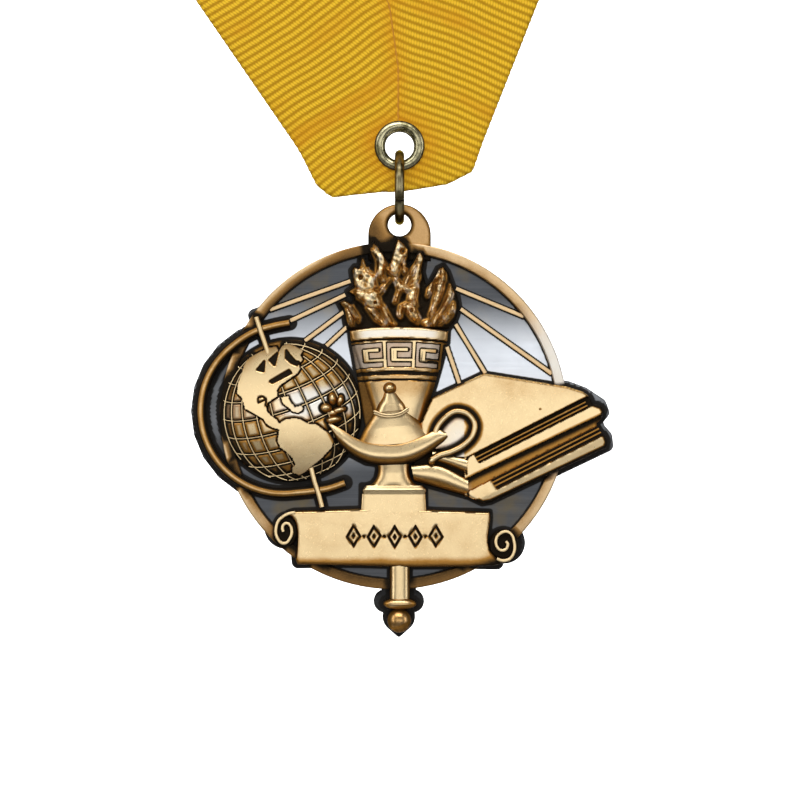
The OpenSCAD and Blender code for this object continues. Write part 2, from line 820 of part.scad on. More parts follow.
// Across the ribbon towards its outer edge, square to the way it runs
function outward(i) =
    let (side = i < LEG_STEPS ? -1 : 1, a = across(side), turn = loop_stations[i][3])
    let (raw = mix([a[0], 0, a[1]], [0, 0.15, -1], min(1, max(0, turn))), way = heading(i))
    unit(raw - way * (raw * way));

module ribbon_loop() {
    points = [for (i = [0 : 2 * LEG_STEPS])
        let (p = place(loop_stations[i]), w = outward(i) * (ribbon_w / 2 - selvedge),
            n = cross(heading(i), outward(i)) * ribbon_t / 2)
            each [p - w - n, p + w - n, p + w + n, p - w + n]];
    polyhedron(points, skin(2 * LEG_STEPS + 1, 4), convexity = 6);
}

// Lower edge of the sewn tip, as shares of the ribbon's width and the tail
TIP_EDGE = [
    [-0.38, -1.09], [-0.29, -1.08], [-0.07, -1.00], [0.11, -0.93], [0.26, -0.84], [0.39, -0.72]];

module sewn_tip() {
    translate([0, front_y + tip_t / 2, eye_z])
        rotate([90, 0, 0])
            difference() {
                linear_extrude(tip_t)
                    polygon(concat(
                        [corner_left],
                        scaled(TIP_EDGE, ribbon_w, tip_tail),
                        [corner_right],
                        [for (way = [1, 0]) crotch + (way * across(1) + PRONG * along(1)) * ribbon_w],
                        [crotch],
                        [for (way = [0, 1]) crotch + (way * across(-1) + PRONG * along(-1)) * ribbon_w]));
                translate([0, 0, -bite])
                    cylinder(r = eye_r + eye_wall + 2 * eye_gap, h = tip_t + 2 * bite);
            }
}

module neck_ribbon() {
    color("gold") {
        ribbon_loop();
        sewn_tip();
    }
}

neck_ribbon();
eyelet();
jump_ring();
medallion();
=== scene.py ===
# %% [markdown]
# # A cast bronze medal on a neck ribbon
# The medal, its jump ring and the eyelet are metal, and the ribbon is woven cloth. The plain solids
# are loaded first as a fixed frame. Each one is then dressed in detailed pieces of the same size,
# so that what swings in the simulation also swings here.

import math

import bmesh
import bpy
import numpy as np
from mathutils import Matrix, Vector, geometry


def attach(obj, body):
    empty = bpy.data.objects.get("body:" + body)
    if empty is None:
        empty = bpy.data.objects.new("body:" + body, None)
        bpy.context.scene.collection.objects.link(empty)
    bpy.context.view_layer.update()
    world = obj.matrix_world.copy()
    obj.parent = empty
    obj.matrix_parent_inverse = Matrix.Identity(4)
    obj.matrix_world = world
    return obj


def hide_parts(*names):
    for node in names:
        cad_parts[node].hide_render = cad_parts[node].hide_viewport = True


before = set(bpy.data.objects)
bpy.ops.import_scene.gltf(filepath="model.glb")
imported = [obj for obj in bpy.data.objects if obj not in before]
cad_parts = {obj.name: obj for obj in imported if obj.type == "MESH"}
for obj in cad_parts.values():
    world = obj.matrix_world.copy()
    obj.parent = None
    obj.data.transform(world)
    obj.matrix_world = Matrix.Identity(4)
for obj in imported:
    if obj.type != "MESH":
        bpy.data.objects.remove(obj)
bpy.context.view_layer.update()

# %% [markdown]
# ## Two coordinate systems
# The relief is drawn on the medal's own face, in millimetres: X right, Y up and Z out of the flat
# back, with the middle of the disc at zero. One function turns such points into the scene's metres.
# The eyelet, the ring and the ribbon are drawn in millimetres along the scene's own axes. Either
# way a finished mesh already lies in its place, and its object stays at the origin.

# %% Places and sizes
MM = 0.001
FACE_ORIGIN = np.array([-0.8, -106.6, -353.5])
# radii of the disc and of the rim's inner edge, then the tops of the field, the step and the rim
DISC_R, RIM_IN, PLATE, STEP, RIM_TOP = 25.4, 23.9, 1.8, 1.4, 2.6
FOOT = 1.2          # every relief is rooted this high over the flat back, inside the plate


def to_scene(points):
    x, y, z = np.asarray(points, float).T
    return (np.stack([x, -z, y], 1) + FACE_ORIGIN) * MM


def from_millimetres(points):
    return np.asarray(points) * MM


print("the disc's middle is at", to_scene([[0, 0, 0]])[0])

# %% [markdown]
# ## Node networks as plain arithmetic
# Materials and geometry trees are both networks of nodes. A socket is wrapped in a small class, so
# that an expression such as `1 - mask * 2` adds its Math nodes by itself. Every other node comes
# from one method, which sets the node's options first and its sockets after them.

# %% Network helper
class Wire:
    def __init__(self, net, socket):
        self.net, self.socket = net, socket

    def __add__(self, other): return self.net.math("ADD", self, other)
    def __sub__(self, other): return self.net.math("SUBTRACT", self, other)
    def __mul__(self, other): return self.net.math("MULTIPLY", self, other)
    def __radd__(self, other): return self.net.math("ADD", other, self)
    def __rsub__(self, other): return self.net.math("SUBTRACT", other, self)


class Net:
    def __init__(self, tree):
        self.tree = tree

    def node(self, kind, inputs=(), out=0, **settings):
        made = self.tree.nodes.new(kind)
        for name, value in settings.items():
            setattr(made, name, value)
        for key, value in dict(inputs).items():
            if isinstance(value, Wire):
                self.tree.links.new(value.socket, made.inputs[key])
            else:
                made.inputs[key].default_value = value
        return Wire(self, made.outputs[out]) if len(made.outputs) else None

    def math(self, operation, a, b=0):
        return self.node("ShaderNodeMath", {0: a, 1: b}, operation=operation)

    def place(self):
        return self.node("ShaderNodeTexCoord", out="Object")

    def value(self, name):
        return self.node("ShaderNodeAttribute", out="Fac", attribute_name=name)

    def blend(self, share, a, b):
        return self.node("ShaderNodeMix", {0: share, 6: a, 7: b}, out=2, data_type="RGBA")

    def between(self, value, low, high):
        return self.node("ShaderNodeMapRange", {"Value": value, "From Min": low, "From Max": high},
                         interpolation_type="SMOOTHSTEP")

    def noise(self, place, scale, detail):
        return self.node("ShaderNodeTexNoise", {"Vector": place, "Scale": scale, "Detail": detail})

    def streaks(self, place, scale, detail):
        """Noise with a scale of its own along each axis."""
        stretched = self.node("ShaderNodeMapping", {"Vector": place, "Scale": scale})
        return self.noise(stretched, 1.0, detail)

    def bump(self, height, depth, strength):
        return self.node("ShaderNodeBump", {"Height": height, "Distance": depth,
                                            "Strength": strength}, out="Normal")


def finish(name, recipe):
    material = bpy.data.materials.new(name)
    material.use_nodes = True
    net = Net(material.node_tree)
    net.tree.nodes.clear()
    shader = net.node("ShaderNodeBsdfPrincipled", recipe(net), out="BSDF")
    net.node("ShaderNodeOutputMaterial", {"Surface": shader})
    print("finish", name, "has", len(net.tree.nodes), "nodes")
    return material


# %% [markdown]
# ## Antique bronze
# The plating is dipped in a dark patina and then rubbed back, so it is black in the recesses and
# bright on the high parts. Each relief mesh carries that as a point attribute, which is 0 on a
# rubbed surface and 1 at the bottom of a groove, and which also holds painted shade on slopes and
# sides that turn away from the light. The finish mixes two bronze tones by soft clouds and by that
# attribute, and lays the dark over them where the attribute says so. A second attribute lightens
# the plating towards pale metal: a little of that is wear, and most of it is a painted highlight
# where a face catches the light.

# %% Bronze finishes
BLACK = (0.010, 0.007, 0.004, 1)


def bronze(light, dark, smooth=0.30):
    def recipe(net):
        place, patina_and_shade, wear_and_highlight = net.place(), net.value("patina_and_shade"), net.value("wear_and_highlight")
        clouds = net.noise(place, 330, 3)
        grain = net.noise(place, 5200, 2)
        # the patina in the hollows and the painted shade on slopes and lower sides lay black here
        # and turn the tone brown
        dark_share = net.between(patina_and_shade + (clouds - 0.5) * 0.16 + (grain - 0.5) * 0.16, 0.22, 0.86)
        tone = net.between(clouds * 0.32 + grain * 0.15 + patina_and_shade * 1.3 + 0.10, 0.30, 0.78)
        # pale metal where the plating is worn through, and a painted highlight where a face catches
        # the light
        pale = net.between(wear_and_highlight + (clouds - 0.5) * 0.5, 0.15, 0.95)
        plated = net.blend(pale, net.blend(tone, light, dark), (0.88, 0.84, 0.76, 1))
        return {
            "Base Color": net.blend(dark_share, plated, BLACK),
            "Metallic": 1 - dark_share * 0.55,
            "Specular Tint": (0.55, 0.42, 0.28, 1),
            "Roughness": smooth + dark_share * 0.32 + (grain - 0.5) * 0.14,
            "Normal": net.bump(grain + clouds * 2, 0.00003, 0.35)}
    return recipe


bronze_relief = finish("antique_bronze", bronze((0.94, 0.72, 0.40, 1), (0.46, 0.22, 0.045, 1)))
bronze_rim = finish("rim_bronze", bronze((0.84, 0.60, 0.33, 1), (0.36, 0.19, 0.06, 1), 0.36))
bronze_lug = finish("lug_bronze", bronze((0.72, 0.46, 0.21, 1), (0.38, 0.20, 0.06, 1), 0.34))

# %% [markdown]
# ## The brushed field
# The flat field behind the motifs is brushed sideways and toned a cool slate, with a bright strip
# painted across its middle as the reflection of the light. Noise that is stretched far along X
# gives the brush lines. They change the colour a little and the roughness and the surface height
# more.

# %% Slate finish
GLARE_LOW, GLARE_HIGH = (-0.3625, -0.3525), (-0.3450, -0.3355)      # the bright strip's edges


def slate(net):
    place, patina_and_shade = net.place(), net.value("patina_and_shade")
    lines = net.streaks(place, (40, 40, 5200), 3)
    long_lines = net.streaks(place, (18, 18, 1500), 2)
    clouds = net.noise(place, 180, 3)
    height = net.node("ShaderNodeSeparateXYZ", {"Vector": place}, out="Z")
    # a painted glare: the field is lighter in a strip across its middle, as the light's reflection
    painted_glare = (net.between(height, *GLARE_LOW)
              - net.between(height, *GLARE_HIGH)) * (0.75 + clouds * 0.5)
    dark_share = net.between(patina_and_shade + (clouds - 0.5) * 0.25, 0.2, 0.75)
    brushed = net.blend(lines * 0.5 + long_lines * 0.5, (0.040, 0.043, 0.048, 1),
                        (0.150, 0.158, 0.172, 1))
    # warm olive patches here and there by the clouds: a painted sheen
    brushed = net.blend(net.between(clouds, 0.50, 0.72) * 0.7, brushed, (0.170, 0.130, 0.065, 1))
    colour = net.blend(dark_share, net.blend(painted_glare * 0.93, brushed, (0.86, 0.90, 0.96, 1)), BLACK)
    return {
        "Base Color": colour,
        "Metallic": 0.9 - dark_share * 0.5,
        "Roughness": 0.26 + lines * 0.22 + dark_share * 0.3,
        "Normal": net.bump(lines + long_lines, 0.00002, 0.5)}


slate_field = finish("slate_field", slate)

# %% [markdown]
# ## Meshes with patina and painted shade
# A finished mesh gets outward faces, its values of patina and painted shade, smooth shading with
# sharp corners and its place in the scene. One function does it for every metal piece and for the
# seam's thread.

# %% Make an object from points and faces
def in_scene(name, data):
    made = bpy.data.objects.new(name, data)
    bpy.context.scene.collection.objects.link(made)
    return made


def face_outwards(mesh):
    work = bmesh.new()
    work.from_mesh(mesh)
    bmesh.ops.recalc_face_normals(work, faces=work.faces)
    work.to_mesh(mesh)
    work.free()


def write_values(mesh, name, values):
    layer = mesh.attributes.get(name) or mesh.attributes.new(name, "FLOAT", "POINT")
    layer.data.foreach_set("value", np.asarray(values, np.float32))


def triangles(mesh):
    mesh.calc_loop_triangles()
    return len(mesh.loop_triangles)


def make(name, points, faces, patina_and_shade, material, corner=42.0, place=to_scene):
    mesh = bpy.data.meshes.new(name)
    mesh.from_pydata(place(points).tolist(), [], [tuple(f) for f in faces])
    face_outwards(mesh)
    write_values(mesh, "patina_and_shade", np.clip(np.broadcast_to(patina_and_shade, len(points)), 0, 1))
    mesh.shade_smooth()
    mesh.set_sharp_from_angle(angle=math.radians(corner))
    mesh.materials.append(material)
    print(name, triangles(mesh), "triangles")
    return in_scene(name, mesh)


def tube_faces(rings, n, closed=False):
    """Joins rings of n points each. An open tube gets a cap at either end."""
    faces = []
    for i in range(rings if closed else rings - 1):
        here, onward = i * n, (i + 1) % rings * n
        faces += [(here + j, here + (j + 1) % n, onward + (j + 1) % n, onward + j)
                  for j in range(n)]
    return faces if closed else faces + [range(n), range((rings - 1) * n, rings * n)]


# %% Attributes of a finished piece
def places_of(mesh):
    places = np.empty(len(mesh.vertices) * 3)
    mesh.vertices.foreach_get("co", places)
    return places.reshape(-1, 3)


def add_attribute(piece, name, rule):
    """Raises an attribute of a piece by a rule of the place on the face."""
    mesh = piece.data
    values = np.zeros(len(mesh.vertices))
    if name in mesh.attributes:
        mesh.attributes[name].data.foreach_get("value", values)
    on_face = (places_of(mesh) / MM - FACE_ORIGIN)[:, [0, 2]]
    write_values(mesh, name, np.maximum(values, rule(on_face)).clip(0, 1))


# %% [markdown]
# ## Curves through a few points
# Outlines are given as a handful of points. A smooth curve through them is sampled at equal steps,
# with slopes that lean towards the nearer neighbour so that it does not overshoot.

# %% Splines and distances
def smooth_path(rows, parts, least_gap=0.0):
    """Leads a curve through the rows, with this many parts between each two of them."""
    gap = np.linalg.norm(np.diff(rows, axis=0), axis=1)[:, None] + least_gap
    way = np.diff(rows, axis=0) / gap
    slope = np.vstack([way[:1], (way[1:] * gap[:-1] + way[:-1] * gap[1:])
                       / (gap[1:] + gap[:-1]), way[-1:]])
    fine = np.linspace(0, len(rows) - 1, (len(rows) - 1) * parts + 1)
    i = np.minimum(fine.astype(int), len(rows) - 2)
    f, d = (fine - i)[:, None], gap[i]
    return (rows[i] * (1 + f * f * (2 * f - 3)) + rows[i + 1] * f * f * (3 - 2 * f)
            + slope[i] * d * f * (1 - f) ** 2 - slope[i + 1] * d * f * f * (1 - f))


def lengths_along(path):
    return np.concatenate([[0], np.cumsum(np.linalg.norm(np.diff(path, axis=0), axis=1))])


def in_equal_steps(path, way, parts):
    at = np.linspace(0, way[-1], parts + 1)
    return np.stack([np.interp(at, way, column) for column in path.T], 1)


def spline(rows, parts):
    path = smooth_path(np.asarray(rows, float), 40, 1e-9)
    return in_equal_steps(path, lengths_along(path), parts)


def lifted(path, height):
    """Puts a height, one for all or one for each, beside the points of a path."""
    return np.column_stack([path, np.broadcast_to(height, len(path))])


def cut_even(loop, step):
    out = []
    for a, b in zip(loop, np.roll(loop, -1, 0)):
        count = max(1, int(round(np.linalg.norm(b - a) / step)))
        out.append(a + (b - a) * (np.arange(count) / count)[:, None])
    return np.vstack(out)


def distance(points, path, closed=False):
    path = np.asarray(path, float)[:, :2]
    a, b = (path, np.roll(path, -1, 0)) if closed else (path[:-1], path[1:])
    best = np.full(len(points), 1e9)
    for p, q in zip(a, b):
        along = q - p
        t = np.clip((points - p) @ along / (along @ along + 1e-12), 0, 1)
        best = np.minimum(best, np.linalg.norm(points - p - t[:, None] * along, axis=1))
    return best


def nearest(points, paths, closed=False):
    return np.minimum.reduce([distance(points, path, closed) for path in paths])


def inside(points, loop):
    x, y = points[:, 0], points[:, 1]
    odd = np.zeros(len(points), bool)
    for (x0, y0), (x1, y1) in zip(loop, np.roll(loop, -1, 0)):
        if y0 != y1:
            odd ^= ((y0 > y) != (y1 > y)) & (x < (x1 - x0) * (y - y0) / (y1 - y0) + x0)
    return odd


def in_loops(points, loops):
    """Tells which points lie in the first loop and in none of the others, which are holes."""
    held = inside(points, loops[0])
    for hole in loops[1:]:
        held &= ~inside(points, hole)
    return held


def most(*values):
    return np.maximum.reduce(values)


def ramp(value, low, high):
    t = np.clip((value - low) / (high - low), 0, 1)
    return t * t * (3 - 2 * t)


def fade(value, full, none):
    """1 up to full, and 0 from none on."""
    return 1 - ramp(value, full, none)


def ring(x, y, r, count=96):
    a = np.arange(count) * 2 * np.pi / count
    return np.stack([x + r * np.cos(a), y + r * np.sin(a)], 1)


# %% [markdown]
# ## Reliefs from an outline and a height rule
# A sculptor of medals thinks of an outline and of how high the metal stands inside it. The helper
# fills an outline with evenly staggered points, joins them by a constrained triangulation, which
# keeps the outline crisp, and asks a rule for the height, the patina and the painted shade at each
# point. A wall then drops from the outline into the plate.

# %% Relief helper
ROW_STEP = 0.866        # rows of staggered points lie this share of their pitch apart
EDGE_ROOM = 0.55        # and no such point lies nearer to an outline than this share


def fill(points, sides, loops):
    """Joins points by triangles that keep the sides, and keeps the triangles within the loops."""
    flat, _, faces, *_ = geometry.delaunay_2d_cdt([Vector(p) for p in points], sides, [], 0, 1e-7)
    flat, faces = (np.array([tuple(row) for row in rows]) for rows in (flat, faces))
    return flat, faces[in_loops(flat[faces].mean(1), loops)]


def relief(name, loops, rule, pitch, material=bronze_relief, foot=FOOT, corner=42.0):
    loops = [cut_even(np.asarray(loop, float), pitch) for loop in loops]
    edge = np.vstack(loops)
    low, high = edge.min(0), edge.max(0)
    grid = np.vstack([lifted(np.arange(low[0] + (k % 2) * pitch / 2, high[0], pitch), y)
                      for k, y in enumerate(np.arange(low[1], high[1], pitch * ROW_STEP))])
    grid = grid[in_loops(grid, loops)]
    grid = grid[nearest(grid, loops, True) > pitch * EDGE_ROOM]
    starts = np.cumsum([0] + [len(loop) for loop in loops])
    sides = [(int(s + i), int(s + (i + 1) % len(loop)))
             for s, loop in zip(starts, loops) for i in range(len(loop))]
    flat, faces = fill(np.vstack([edge, grid]), sides, loops)
    z, patina_and_shade = rule(flat, nearest(flat, loops, True))
    # walls down to the foot, and a bottom that closes the mesh
    count, n = len(flat), len(edge)
    walls = [(a, b, count + b, count + a) for a, b in sides]
    bottom = [range(count, count + n)] if len(loops) == 1 else list(
        fill(edge, sides, loops)[1] + count)
    return make(name, np.vstack([lifted(flat, z), lifted(edge, foot)]),
                list(faces) + walls + bottom,
                np.concatenate([np.broadcast_to(patina_and_shade, count), np.ones(n)]), material, corner)


def rounded(inset, width, drop):
    t = np.clip(inset / width, 0, 1)
    return drop * (np.sqrt(1 - (1 - t) ** 2) - 1)


# %% [markdown]
# ## Swells between two rails
# Lamps, spines and handles are round in section and change their width along their length. Two
# rails give the edges, and half an ellipse bulges between them from an edge height to a crown
# height. Straight walls under the edges root the swell in the plate.

# %% Swell helper
def spread_even(values, at):
    values = np.atleast_1d(values)
    return np.interp(at, np.linspace(0, 1, len(values)), values)


def swell(name, left, right, edges, crown, parts=60, arc=16, smooth=True, fades=(0.75, 0.75),
          power=1.0, low=0.0):
    """edges and fades give the height and the darkening at the left and the right rail, which is
    patina at the foot and painted shade on the slope, and low is the least painted shade on the
    half towards the right rail, the lower side."""
    at = np.linspace(0, 1, parts + 1)
    if smooth:
        a, b = spline(left, parts), spline(right, parts)
    else:
        a, b = (np.stack([spread_even(c, at) for c in np.array(rail, float).T], 1)
                for rail in (left, right))
    edge_a, edge_b, c = spread_even(edges[0], at), spread_even(edges[1], at), spread_even(crown, at)
    angle = np.linspace(0, np.pi, arc + 1)
    share, rise = (1 - np.cos(angle)) / 2, np.sin(angle) ** power
    shade = fades[0] + (fades[1] - fades[0]) * share
    # painted shade on the slopes and the lower side, with patina at the foot
    patina_and_shade = [1.0, *(shade * (1 - rise) ** 1.7).clip(low * ramp(share, 0.45, 1.0)), 1.0]
    points = []
    for i in range(parts + 1):
        across = a[i] + (b[i] - a[i]) * share[:, None]
        edge = edge_a[i] + (edge_b[i] - edge_a[i]) * share
        points += [[*a[i], FOOT], *lifted(across, edge + (c[i] - edge) * rise), [*b[i], FOOT]]
    return make(name, np.array(points), tube_faces(parts + 1, arc + 3),
                np.tile(patina_and_shade, parts + 1), bronze_relief, 50)


# %% [markdown]
# ## Bars that follow a line
# Rays, page edges, meridians, the arc round the globe, the lamp's handle and the spirals of the
# scroll are all one kind of thing: a narrow bar with a rounded top that follows a line. Geometry
# Nodes sweep a filleted rectangle along the lines. The width, depth and rounding are the tree's
# inputs, and a point attribute can make a bar taper.

# %% Bar tree
def new_tree(name, output, **sockets):
    """Starts a geometry tree with these input sockets and one shape as its output."""
    tree = bpy.data.node_groups.new(name, "GeometryNodeTree")
    for label, kind in sockets.items():
        tree.interface.new_socket(name=label, in_out="INPUT", socket_type="NodeSocket" + kind)
    tree.interface.new_socket(name=output, in_out="OUTPUT", socket_type="NodeSocketGeometry")
    net = Net(tree)
    given = tree.nodes.new("NodeGroupInput")
    return net, {s.name: Wire(net, s) for s in given.outputs if s.name}


def upright_curve(net, lines):
    line = net.node("GeometryNodeMeshToCurve", {"Mesh": lines})
    return net.node("GeometryNodeSetCurveNormal", {"Curve": line}, mode="Z_UP")


def box_section(net, put):
    return net.node("GeometryNodeCurvePrimitiveQuadrilateral",
                    {"Width": put["Width"], "Height": put["Depth"]}, mode="RECTANGLE")


def sweep_along(net, line, section, put, output):
    """Sweeps the section along the line, gives it the finish and ends the tree."""
    swept = net.node("GeometryNodeCurveToMesh",
                     {"Curve": line, "Profile Curve": section, "Fill Caps": True})
    swept = net.node("GeometryNodeRealizeInstances", {"Geometry": swept})
    swept = net.node("GeometryNodeSetMaterial", {"Geometry": swept, "Material": put["Finish"]})
    net.node("NodeGroupOutput", {output: swept})
    return net.tree


def bar_tree():
    net, put = new_tree("raised_bars", "Bars", Lines="Geometry", Width="Float", Depth="Float",
                        Rounding="Float", Finish="Material")
    section = net.node("GeometryNodeFilletCurve",
                       {"Curve": box_section(net, put), "Radius": put["Rounding"], "Count": 7,
                        "Limit Radius": True}, mode="POLY")
    taper = net.node("GeometryNodeInputNamedAttribute", {"Name": "taper"}, data_type="FLOAT")
    line = net.node("GeometryNodeSetCurveRadius",
                    {"Curve": upright_curve(net, put["Lines"]), "Radius": taper})
    return sweep_along(net, line, section, put, "Bars")


BARS = bar_tree()


def run_tree(name, source, tree, **values):
    holder = in_scene(name + "_source", source)
    modifier = holder.modifiers.new("tree", "NODES")
    modifier.node_group = tree
    for item in tree.interface.items_tree:
        if item.in_out == "INPUT" and item.name in values:
            modifier[item.identifier] = values[item.name]
    done = holder.evaluated_get(bpy.context.evaluated_depsgraph_get())
    mesh = bpy.data.meshes.new_from_object(done)
    bpy.data.objects.remove(holder)
    points, faces = places_of(mesh), [tuple(p.vertices) for p in mesh.polygons]
    bpy.data.meshes.remove(mesh)
    return points, faces


def bars(name, lines, width, depth, material=bronze_relief, rounding=None, dark=0.8, tapers=None,
         closed=False, corner=42.0, fall=(0.04, 0.55)):
    """lines are paths of points across, up and top height, and each bar hangs below that height.
    Its side darkens to dark between the two shares of the width that fall gives, going down: patina
    at the foot and painted shade on the rounded side."""
    points, edges, taper = [], [], []
    for k, line in enumerate(lines):
        line = np.asarray(line, float)
        first = len(points)
        points += [(x, y, z - depth / 2) for x, y, z in line]
        edges += [(first + i, first + i + 1) for i in range(len(line) - 1)]
        edges += [(first + len(line) - 1, first)] if closed else []
        taper += list(np.ones(len(line)) if tapers is None else tapers[k])
    mesh = bpy.data.meshes.new(name + "_lines")
    mesh.from_pydata(points, edges, [])
    write_values(mesh, "taper", taper)
    made, faces = run_tree(name, mesh, BARS, Width=width, Depth=depth,
                           Rounding=width * 0.46 if rounding is None else rounding,
                           Finish=material)
    line_points = np.array(points)
    near = np.array([np.argmin(((line_points[:, :2] - p[:2]) ** 2).sum(1)) for p in made])
    under = line_points[near, 2] + depth / 2 - made[:, 2]
    patina_and_shade = dark * ramp(under, width * fall[0], width * fall[1])
    return make(name, made, faces, patina_and_shade, material, corner)


print("bar tree has", len(BARS.nodes), "nodes")

# %% [markdown]
# ## The motifs leave a dark line on the field
# Patina gathers where a motif's wall meets the field, and the same dark line is a painted shadow
# at the wall's foot. Each motif is noted with its outline and, for a bar, with its half width. The
# field later asks how near each of its points is to any of them.

# %% Notes for the field's patina
NEAR, FAR_AWAY = [], 9.0


def note(path, closed=True, half=0.0):
    NEAR.append((np.asarray(path, float)[:, :2], closed, half))
    return path


def patina_and_shadow_near(p, full, none, motifs=None):
    """1 closer than full to a motif's edge, fading to 0 where no motif is nearer than none."""
    best = np.full(len(p), FAR_AWAY)
    for path, closed, half in NEAR if motifs is None else motifs:
        low, high = path.min(0) - none - half, path.max(0) + none + half
        some = np.all((p > low) & (p < high), axis=1)
        if some.any():
            d = distance(p[some], path, closed) - half
            if closed:
                d[inside(p[some], path)] = 0
            best[some] = np.minimum(best[some], d)
    return fade(best, full, none)


# %% [markdown]
# The lamp lies over the globe, the torch and a book, so its outlines come first, and so does the
# outline of the torch's bowl. The flame on the lamp's wick is a cluster of small rounded drops,
# each given by its middle, its two radii and its turn.

# %% Outlines of the lamp and the bowl
BOAT_TOP = [(-9.6, -0.9), (-7.6, -2.0), (-5.7, -3.2), (-4.0, -3.85), (-1.4, -4.2), (0.9, -4.1),
            (2.9, -3.5), (4.9, -2.6), (6.6, -1.95), (7.5, -2.35)]
BOAT_LOW = [(-9.4, -1.6), (-8.2, -3.9), (-6.2, -5.8), (-4.1, -6.9), (-1.0, -7.35), (2.0, -7.1),
            (4.4, -6.1), (6.3, -4.8), (7.4, -3.9), (7.9, -3.2)]
LID_LEFT = [(-6.0, -4.6), (-5.0, -3.2), (-4.25, -1.7), (-3.4, -0.4), (-2.75, 0.6)]
LID_RIGHT = [(6.2, -3.6), (5.2, -2.5), (4.2, -1.3), (3.0, -0.1), (1.95, 1.05)]
HANDLE = spline([(5.9, -3.2), (6.2, -1.9), (7.2, -0.5), (9.0, 0.65), (10.8, 0.2), (11.75, -1.3),
                 (11.4, -2.9), (10.2, -4.2), (8.4, -5.2), (6.5, -5.8), (5.5, -6.4)], 90)
WICK = [(-8.95, 2.5, 0.66, 1.05, 8, 4.5), (-7.85, 2.2, 0.55, 0.95, -12, 4.3),
        (-9.9, 1.15, 0.95, 0.78, 0, 4.5), (-8.0, 0.85, 1.1, 0.55, 12, 4.2),
        (-8.8, -0.55, 1.25, 0.62, 8, 4.4), (-9.0, 0.4, 0.8, 0.6, 0, 3.9)]


def oval(x, y, rx, ry, turn=0):
    a, lean = ring(0, 0, 1, 48), math.radians(turn)
    u, v = rx * a[:, 0], ry * a[:, 1]
    return np.stack([x + u * math.cos(lean) - v * math.sin(lean),
                     y + u * math.sin(lean) + v * math.cos(lean)], 1)


LAMP = [(np.array(BOAT_TOP + BOAT_LOW[::-1]), True, 0.0), (HANDLE, False, 0.6),
        (np.array(LID_LEFT + LID_RIGHT[::-1]), True, 0.0)]
LAMP += [(oval(*petal[:5]), True, 0.0) for petal in WICK]
NEAR += LAMP
BOWL = note([(-6.5, 12.45), (-3.4, 12.85), (0.4, 12.98), (4.2, 12.85), (7.9, 12.35), (7.8, 10.7),
             (7.35, 9.6), (6.8, 7.4), (6.0, 4.6), (5.1, 1.8), (4.2, -1.5), (3.5, -4.0),
             (-3.6, -4.0), (-4.4, -0.6), (-5.2, 4.2), (-5.9, 8.6), (-6.3, 10.7)])
print("the lamp has", len(LAMP), "outlines")

# %% [markdown]
# ## The globe
# The globe is a low dome with raised land, ruled with parallels and meridians. Its net is computed
# as a real sphere would show it, leaning with the axis pin, and cut away where land lies. Fine
# ridges stand in dark grooves, so the dome's rule darkens a strip along each line.

# %% Globe outlines and net
GLOBE_X, GLOBE_Y, GLOBE_R = -15.1, 0.7, 10.42
GLOBE = np.array([GLOBE_X, GLOBE_Y])
AXIS_LEAN, VIEW_NORTH = math.radians(19), math.radians(14)
DOME_EDGE, DOME_RISE, LAND_LEVEL = 2.4, 1.7, 3.95
NET_SIZE, NEAR_SIDE = 0.985, 0.13       # the net's share of the radius, and how far round it shows
# land outlines, in millimetres from the globe's centre
NORTH_LAND = np.array([
    (-6.8, 6.6), (-7.7, 3.9), (-7.8, 2.6), (-7.1, 1.9), (-6.6, 0.3), (-4.9, -0.6), (-3.9, -1.2),
    (-3.3, -2.1), (-2.2, -2.6), (-1.5, -2.7), (-1.7, -1.9), (-2.0, -1.2), (-2.8, -0.6), (-3.4, 0.0),
    (-3.3, 1.1), (-2.8, 1.5), (-1.8, 2.1), (-1.9, 3.0), (-1.6, 3.6), (-0.6, 4.3), (1.0, 5.4),
    (1.5, 6.1), (1.3, 6.8), (1.8, 7.5), (1.5, 8.2), (1.8, 8.8), (0.7, 9.5), (-0.3, 9.8),
    (-1.3, 9.5), (-1.7, 8.6), (-2.0, 9.4), (-3.1, 9.3), (-4.8, 8.5), (-6.2, 7.6)])
ISLANDS = np.array([(-1.4, 2.0), (-0.3, 2.2), (0.1, 1.3), (0.7, 0.6), (1.6, 0.8), (1.9, 0.5),
                    (1.7, 0.0), (1.1, -0.3), (0.3, -0.1), (-0.2, 0.4), (-1.0, 1.0)])
SOUTH_LAND = np.array([
    (-2.0, -1.2), (-1.6, -1.8), (-0.7, -1.2), (0.6, -1.0), (1.6, -1.2), (2.6, -1.8), (3.8, -1.9),
    (4.6, -2.5), (6.2, -3.6), (6.5, -4.3), (5.9, -5.5), (4.6, -6.9), (3.4, -7.9), (2.1, -9.0),
    (1.3, -9.4), (0.3, -9.0), (0.2, -8.3), (0.7, -7.9), (0.3, -6.9), (-0.7, -5.9), (-1.5, -5.3),
    (-1.9, -4.3), (-1.7, -3.2), (-1.6, -2.6)])
LANDS = (NORTH_LAND, SOUTH_LAND, ISLANDS)
LAKES = [np.array(p) for p in (
    [(-4.8, 6.0), (-3.9, 5.8), (-3.8, 7.2)],
    [(-3.0, 7.4), (-1.9, 8.4), (-2.3, 6.7)],
    [(-2.9, 4.3), (-0.2, 5.9), (0.1, 5.5), (-2.6, 4.1)],
    [(-0.6, 8.8), (-0.2, 8.2), (0.7, 7.2), (1.2, 7.1), (1.0, 6.7), (0.2, 7.0), (-0.6, 7.7)])]
COASTS = [np.array(p) for p in (
    [(-4.7, 1.6), (-4.6, 2.0), (-4.0, 2.1), (-3.5, 1.7), (-4.6, 1.2), (-4.7, 1.6)],
    [(-3.5, 1.4), (-3.6, 0.8), (-3.0, 0.3), (-2.2, 0.4), (-1.5, 0.9), (-1.0, 0.4)])]


